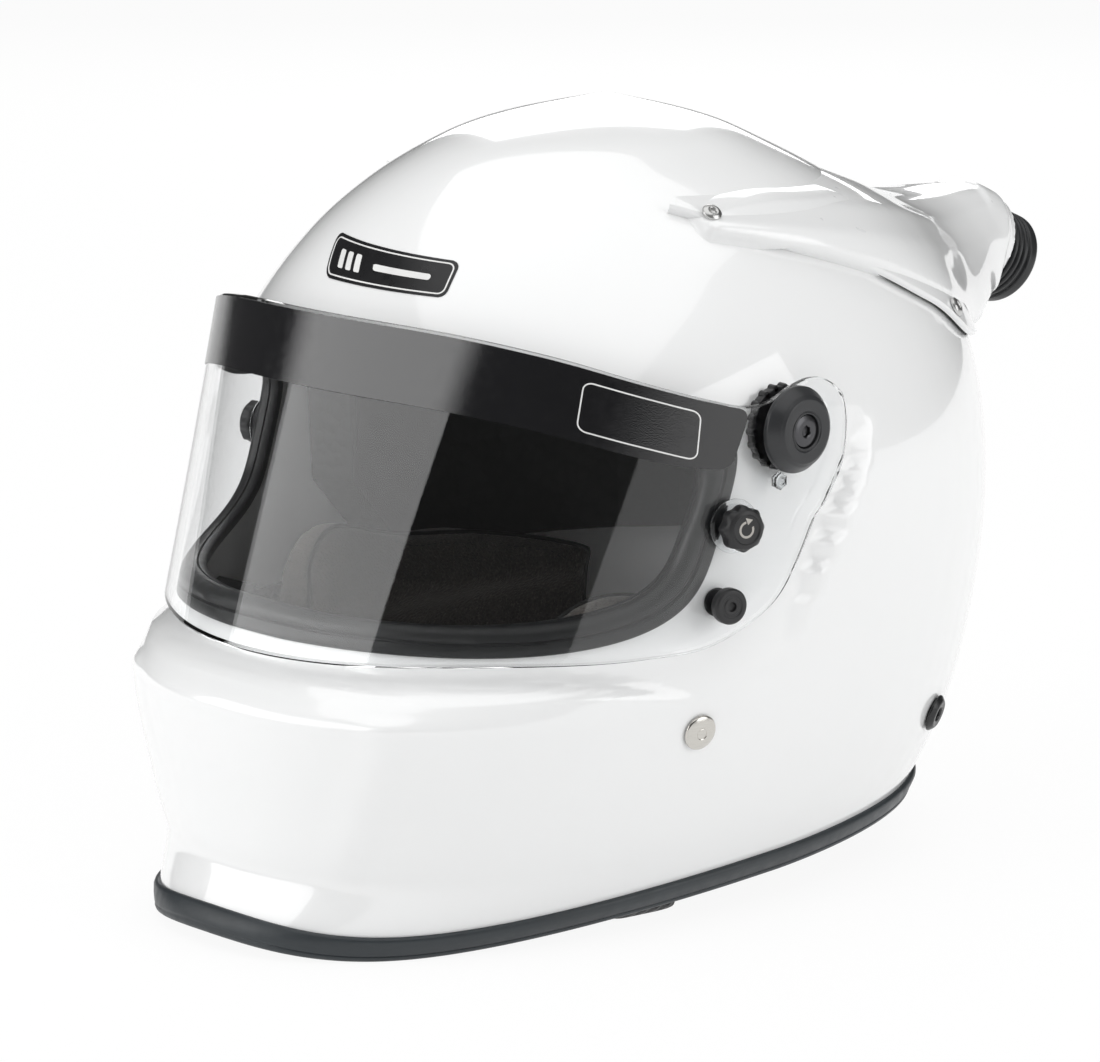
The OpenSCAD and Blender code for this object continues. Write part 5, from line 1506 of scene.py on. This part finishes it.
def build_crown_pad():
    over = PORT_HIGH + 31
    low = curve([[0, over - 1], [60, over], [84, over - 10], [100, PORT_HIGH - 13], [130, PORT_LOW + 40],
                 [180, PORT_LOW + 34]], 2)
    n, off = 120, -(LINER_FACE + 2.5) - 0.8
    a = np.arange(n) * 360 / n
    z0 = low(fold(a))
    share = [0.006, 0.03, 0.07, 0.13, 0.2, 0.3, 0.4, 0.5, 0.6, 0.7, 0.8, 0.88, 0.94, 0.98]
    groove = np.minimum(np.abs((a + 22.5) % 45 - 22.5) / 6, 1) ** 0.7
    rings = [lined(a, z0 + (SHELL_H - 1 - z0) * s, np.full(n, off)) for s in share]
    for s in share[::-1]:
        full = (0.35 + 0.65 * min(1, s * 9)) * (0.72 + 0.28 * np.maximum(groove, s**3))
        rings.append(lined(a, z0 + (SHELL_H - 1 - z0) * s, off - 6.2 * full))
    top, m = len(share), 2 * len(share)
    tips = [rings[top - 1].mean(0), rings[top].mean(0)]
    grid = grid_faces(m, n, True).reshape(m - 1, n, 4)
    faces = np.delete(grid, top - 1, 0).reshape(-1, 4).tolist()
    around = np.arange(n)
    after = (around + 1) % n
    faces += np.stack([around, (m - 1) * n + around, (m - 1) * n + after, after], 1).tolist()
    for level, tip, way in ((top - 1, n * m, 1), (top, n * m + 1, -1)):
        faces += np.stack([around + level * n, after + level * n, np.full(n, tip)], 1)[:, ::way].tolist()
    ob = filled(finished("crown_pad_cloth", np.concatenate(rings + [tips]), faces, LINING_DARK_WITH_PAINTED_SHADE, 0), 0.005, 0.002)
    cushion(ob, "crown_pad")


# ---- Straps and rings
RIVET_N = outward(*RIVET_AT)
STRAP_N = unit(np.array([RIVET_N[0], RIVET_N[1], 0]))
STRAP_SIDE = np.array([-STRAP_N[1], STRAP_N[0], 0])
STRAP_FOOT = skin(RIVET_AT[0], float(edge_z(RIVET_AT[0])) + 2)
STRAP_RISE, STRAP_LOW, STRAP_T, STRAP_W, LOOP_Z, LOOP_R = 42.2, 2.7, 2.4, 25, 40, 6.0


def strap_at(d, z):
    return np.array([STRAP_FOOT[0] - STRAP_N[0] * d, STRAP_FOOT[1] - STRAP_N[1] * d, z])


def band(name, path, mat):
    """Woven strap with its UV in metres, across and along"""
    p = evened(path, 1.5, 2.2)
    t = unit(np.gradient(p, axis=0))
    u = np.cross(t, STRAP_SIDE)
    w, h = STRAP_W / 2 - 0.2, STRAP_T / 2 - 0.1
    half = [(x, h - 0.5 * h * (abs(x) / w) ** 6) for x in np.linspace(-w, w, 11)]
    section = np.array(half + [(w + 0.12, 0)] + [(x, -y) for x, y in half[::-1]] + [(-w - 0.12, 0)])
    rings = p[:, None] + STRAP_SIDE * section[None, :, :1] + u[:, None] * section[None, :, 1:]
    ob = swept(name, rings, mat, closed=False, sharp=0)
    me = ob.data
    n = len(section)
    run = run_along(p) * MM
    me.uv_layers.new(name="weave")
    idx = np.empty(len(me.loops), int)
    me.loops.foreach_get("vertex_index", idx)
    uv = np.stack([section[idx % n, 0] * MM, run[idx // n]], 1)
    me.uv_layers[0].data.foreach_set("uv", uv.astype(np.float32).ravel())
    return ob, p, u


def build_straps():
    down = [skin(RIVET_AT[0], z, -SHELL_T - 0.9 - STRAP_T / 2) for z in (88, 76, 62, 48, 34)]
    down += [skin(RIVET_AT[0], z, -SHELL_T - TRIM_T - 1 - STRAP_T / 2) for z in (24, 17, 9)]
    under = [strap_at(*q) for q in ((8.6, 4.5), (11, STRAP_LOW), (20, STRAP_LOW), (32, STRAP_LOW),
                                    (STRAP_RISE - 3, STRAP_LOW), (STRAP_RISE - 0.6, 5), (STRAP_RISE, 8))]
    turn = [strap_at(STRAP_RISE + LOOP_R + cosd(w) * LOOP_R, LOOP_Z + sind(w) * LOOP_R) for w in range(180, -101, -20)]
    up = [strap_at(STRAP_RISE, z) for z in (30, 52, 74)]
    x = np.linspace(-10.5, 10.5, 22)[:, None]
    for side_name, path, sewn_at in (("left", down + under + [strap_at(STRAP_RISE, 22)] + turn, (62, 56)),
                                     ("right", down + under + up, (4, 9))):
        ob, p, u = band("chin_strap_" + side_name, path, WEBBING)
        rows = []
        run = run_along(p)
        for from_end in sewn_at:
            k = int(np.searchsorted(run, run[-1] - from_end))
            for way in (-u[k], u[k]):
                rows.append(stitched("strap_bar", p[k] + STRAP_SIDE * x + way * (STRAP_T / 2 + 0.02),
                                     np.repeat(way[None], len(x), 0), THREAD, 2.3, (1.9, 0.6, 0.4)))
        rows = joined("strap_stitches_" + side_name, *rows)
        if side_name == "right":
            a, b = mirrored(ob, "chin_strap_right_band"), mirrored(rows, "strap_stitches_right_band")
            bpy.data.objects.remove(ob)
            bpy.data.objects.remove(rows)
            ob, rows = a, b
        give(ob, "root", "chin_strap_" + side_name, slot="strap_webbing")
        give(rows, "root", slot="strap_webbing")

    centre = strap_at(STRAP_RISE + LOOP_R, LOOP_Z)
    away = np.array([-STRAP_SIDE[1], STRAP_SIDE[0], 0])
    r, wire = STRAP_W / 2 + 4, 1.9
    for k, name in ((-1, "d_ring_inner"), (1, "d_ring_outer")):
        flat = [(r * sind(w), r * cosd(w)) for w in np.linspace(0, 180, 60)]
        flat += [(0, z) for z in np.linspace(-r + 1, r - 1, 24)]
        path = [centre + away * k * 2 + np.array([0, 0, -1]) * x + STRAP_SIDE * z for x, z in flat]
        ring = tube(name + "_wire", evened(path, 1.0, 0.9, True), wire, STEEL, sides=20)
        give(ring, "d_rings", name, slot="ring_steel")


# ---- Labels, nub and lines
def place_on(spot, path, off, w, t, name, mat):
    """Flat bead that follows a closed path of two parameters over a surface"""
    path = np.asarray(path, float)
    path = np.concatenate([path, path[:1]])
    run = run_along(spot(path, 0))
    grid = np.linspace(0, run[-1], max(int(run[-1] / 0.8), 8) + 1)
    q = np.stack([np.interp(grid, run, path[:, k]) for k in (0, 1)], 1)[:-1]
    p, n = spot(q, off), unit(spot(q, off + 1) - spot(q, off))
    side_way = unit(np.cross(unit(np.roll(p, -1, 0) - np.roll(p, 1, 0)), n))
    rings = np.stack([p + side_way * x + n * y for x, y in ((-w / 2, 0), (-w / 2, t), (w / 2, t), (w / 2, 0))], 1)
    return swept(name, rings, mat, sharp=40)


def rounded_box(u0, u1, v0, v1, ru, rv):
    w = np.linspace(0, 90, 8)
    out = []
    for k, (u, v) in enumerate(((u1 - ru, v1 - rv), (u0 + ru, v1 - rv), (u0 + ru, v0 + rv), (u1 - ru, v0 + rv))):
        out += [(u + ru * cosd(x + 90 * k), v + rv * sind(x + 90 * k)) for x in w]
    return out


def sheet_on(spot, u0, u1, v0, v1, r, size, low, high, name, mat):
    """Thin plate with round corners on a surface"""
    u, v = np.meshgrid(np.linspace(u0, u1, 65), np.linspace(v0, v1, 33))

    def within(w, w0, w1, length):
        return ((w1 - w0) / 2 - np.abs(w - (w0 + w1) / 2)) / (w1 - w0) * length

    def field(q):
        return round_corner(within(q[..., 0], u0, u1, size[0]), within(q[..., 1], v0, v1, size[1]), r) + 1e-3

    p, quads, tris = trimmed(np.stack([u, v], -1), field)
    verts, faces = thick(spot(p.reshape(-1, 2), high), spot(p.reshape(-1, 2), low), [quads, tris])
    return finished(name, verts, faces, mat, 40)


LABEL_AT = np.array([[[-16, 238.5], [23.2, 234.8]], [[-9.2, 224.8], [22, 223.5]]])


def label_spot(q, off):
    """Forehead label: 0 to 1 across and down, on the shell"""
    u, v = q[:, 0:1], q[:, 1:2]
    upper, lower = (start * (1 - u) + end * u for start, end in LABEL_AT)
    m = upper * (1 - v) + lower * v
    return skin(m[:, 0], m[:, 1], np.full(len(m), float(off)))


def strip_spot(q, off):
    """Strip's face: angle and millimetres below the visor's top edge"""
    k = q[:, 0]
    return on_visor(k, VISOR_HIGH_Z + visor_top(visor_y(k, VISOR_HIGH_Z)) - STRIP_DOWN - q[:, 1], STRIP_OUT + off)


def build_marks():
    plate = sheet_on(label_spot, 0, 1, 0, 1, 3.2, (62, 15), 0.02, 0.22, "forehead_label", LABEL)
    border = rounded_box(0.022, 0.978, 0.09, 0.91, 0.04, 0.16)
    line = place_on(label_spot, border, 0.2, 0.55, 0.08, "label_line", KEYLINE)
    bars = [sheet_on(label_spot, u, u + 0.05, 0.3, 0.72, 0.7, (3, 8), 0.2, 0.32, "label_bar", KEYLINE)
            for u in (0.12, 0.2, 0.28)]
    rule = sheet_on(label_spot, 0.44, 0.86, 0.43, 0.59, 1.15, (26, 2.4), 0.2, 0.32, "label_rule", KEYLINE)
    give(joined("forehead_label_set", plate, line, rule, *bars), "root")

    border = rounded_box(48, 68, 4.0, 20.2, 1.6, 2.6)
    give(place_on(strip_spot, border, 0.02, 0.5, 0.06, "strip_line", KEYLINE), "visor")

    profile = [(0, -0.1), (3.1, -0.1), (3.1, 1.7), (2.4, 2.4), (1.3, 2.4), (1.1, 1.5), (0, 1.5)]
    nub = turned("visor_nub", rounded(profile, 0.25, 2), NUB, 48, 30,
                 lambda w, r, _: np.where(r > 2, 0.87 / hex_cos(w), 1.0))
    pair(placed(nub, local(*visor_side(*NUB_AT))), "visor", None, None)


for build in (build_shell, build_trim, build_gasket, build_visor, build_strip, build_duct, build_nozzle, build_pivots,
              build_tear_offs, build_fasteners, build_pads, build_straps, build_marks):
    build()

# ---- CAD pieces that keep their shape
for name in ("crown_liner", "chin_liner"):
    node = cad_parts[name]
    for ob in node if isinstance(node, (list, tuple)) else [node]:
        for slot in ob.material_slots:
            slot.material = FOAM_DARK_WITH_PAINTED_SHADE
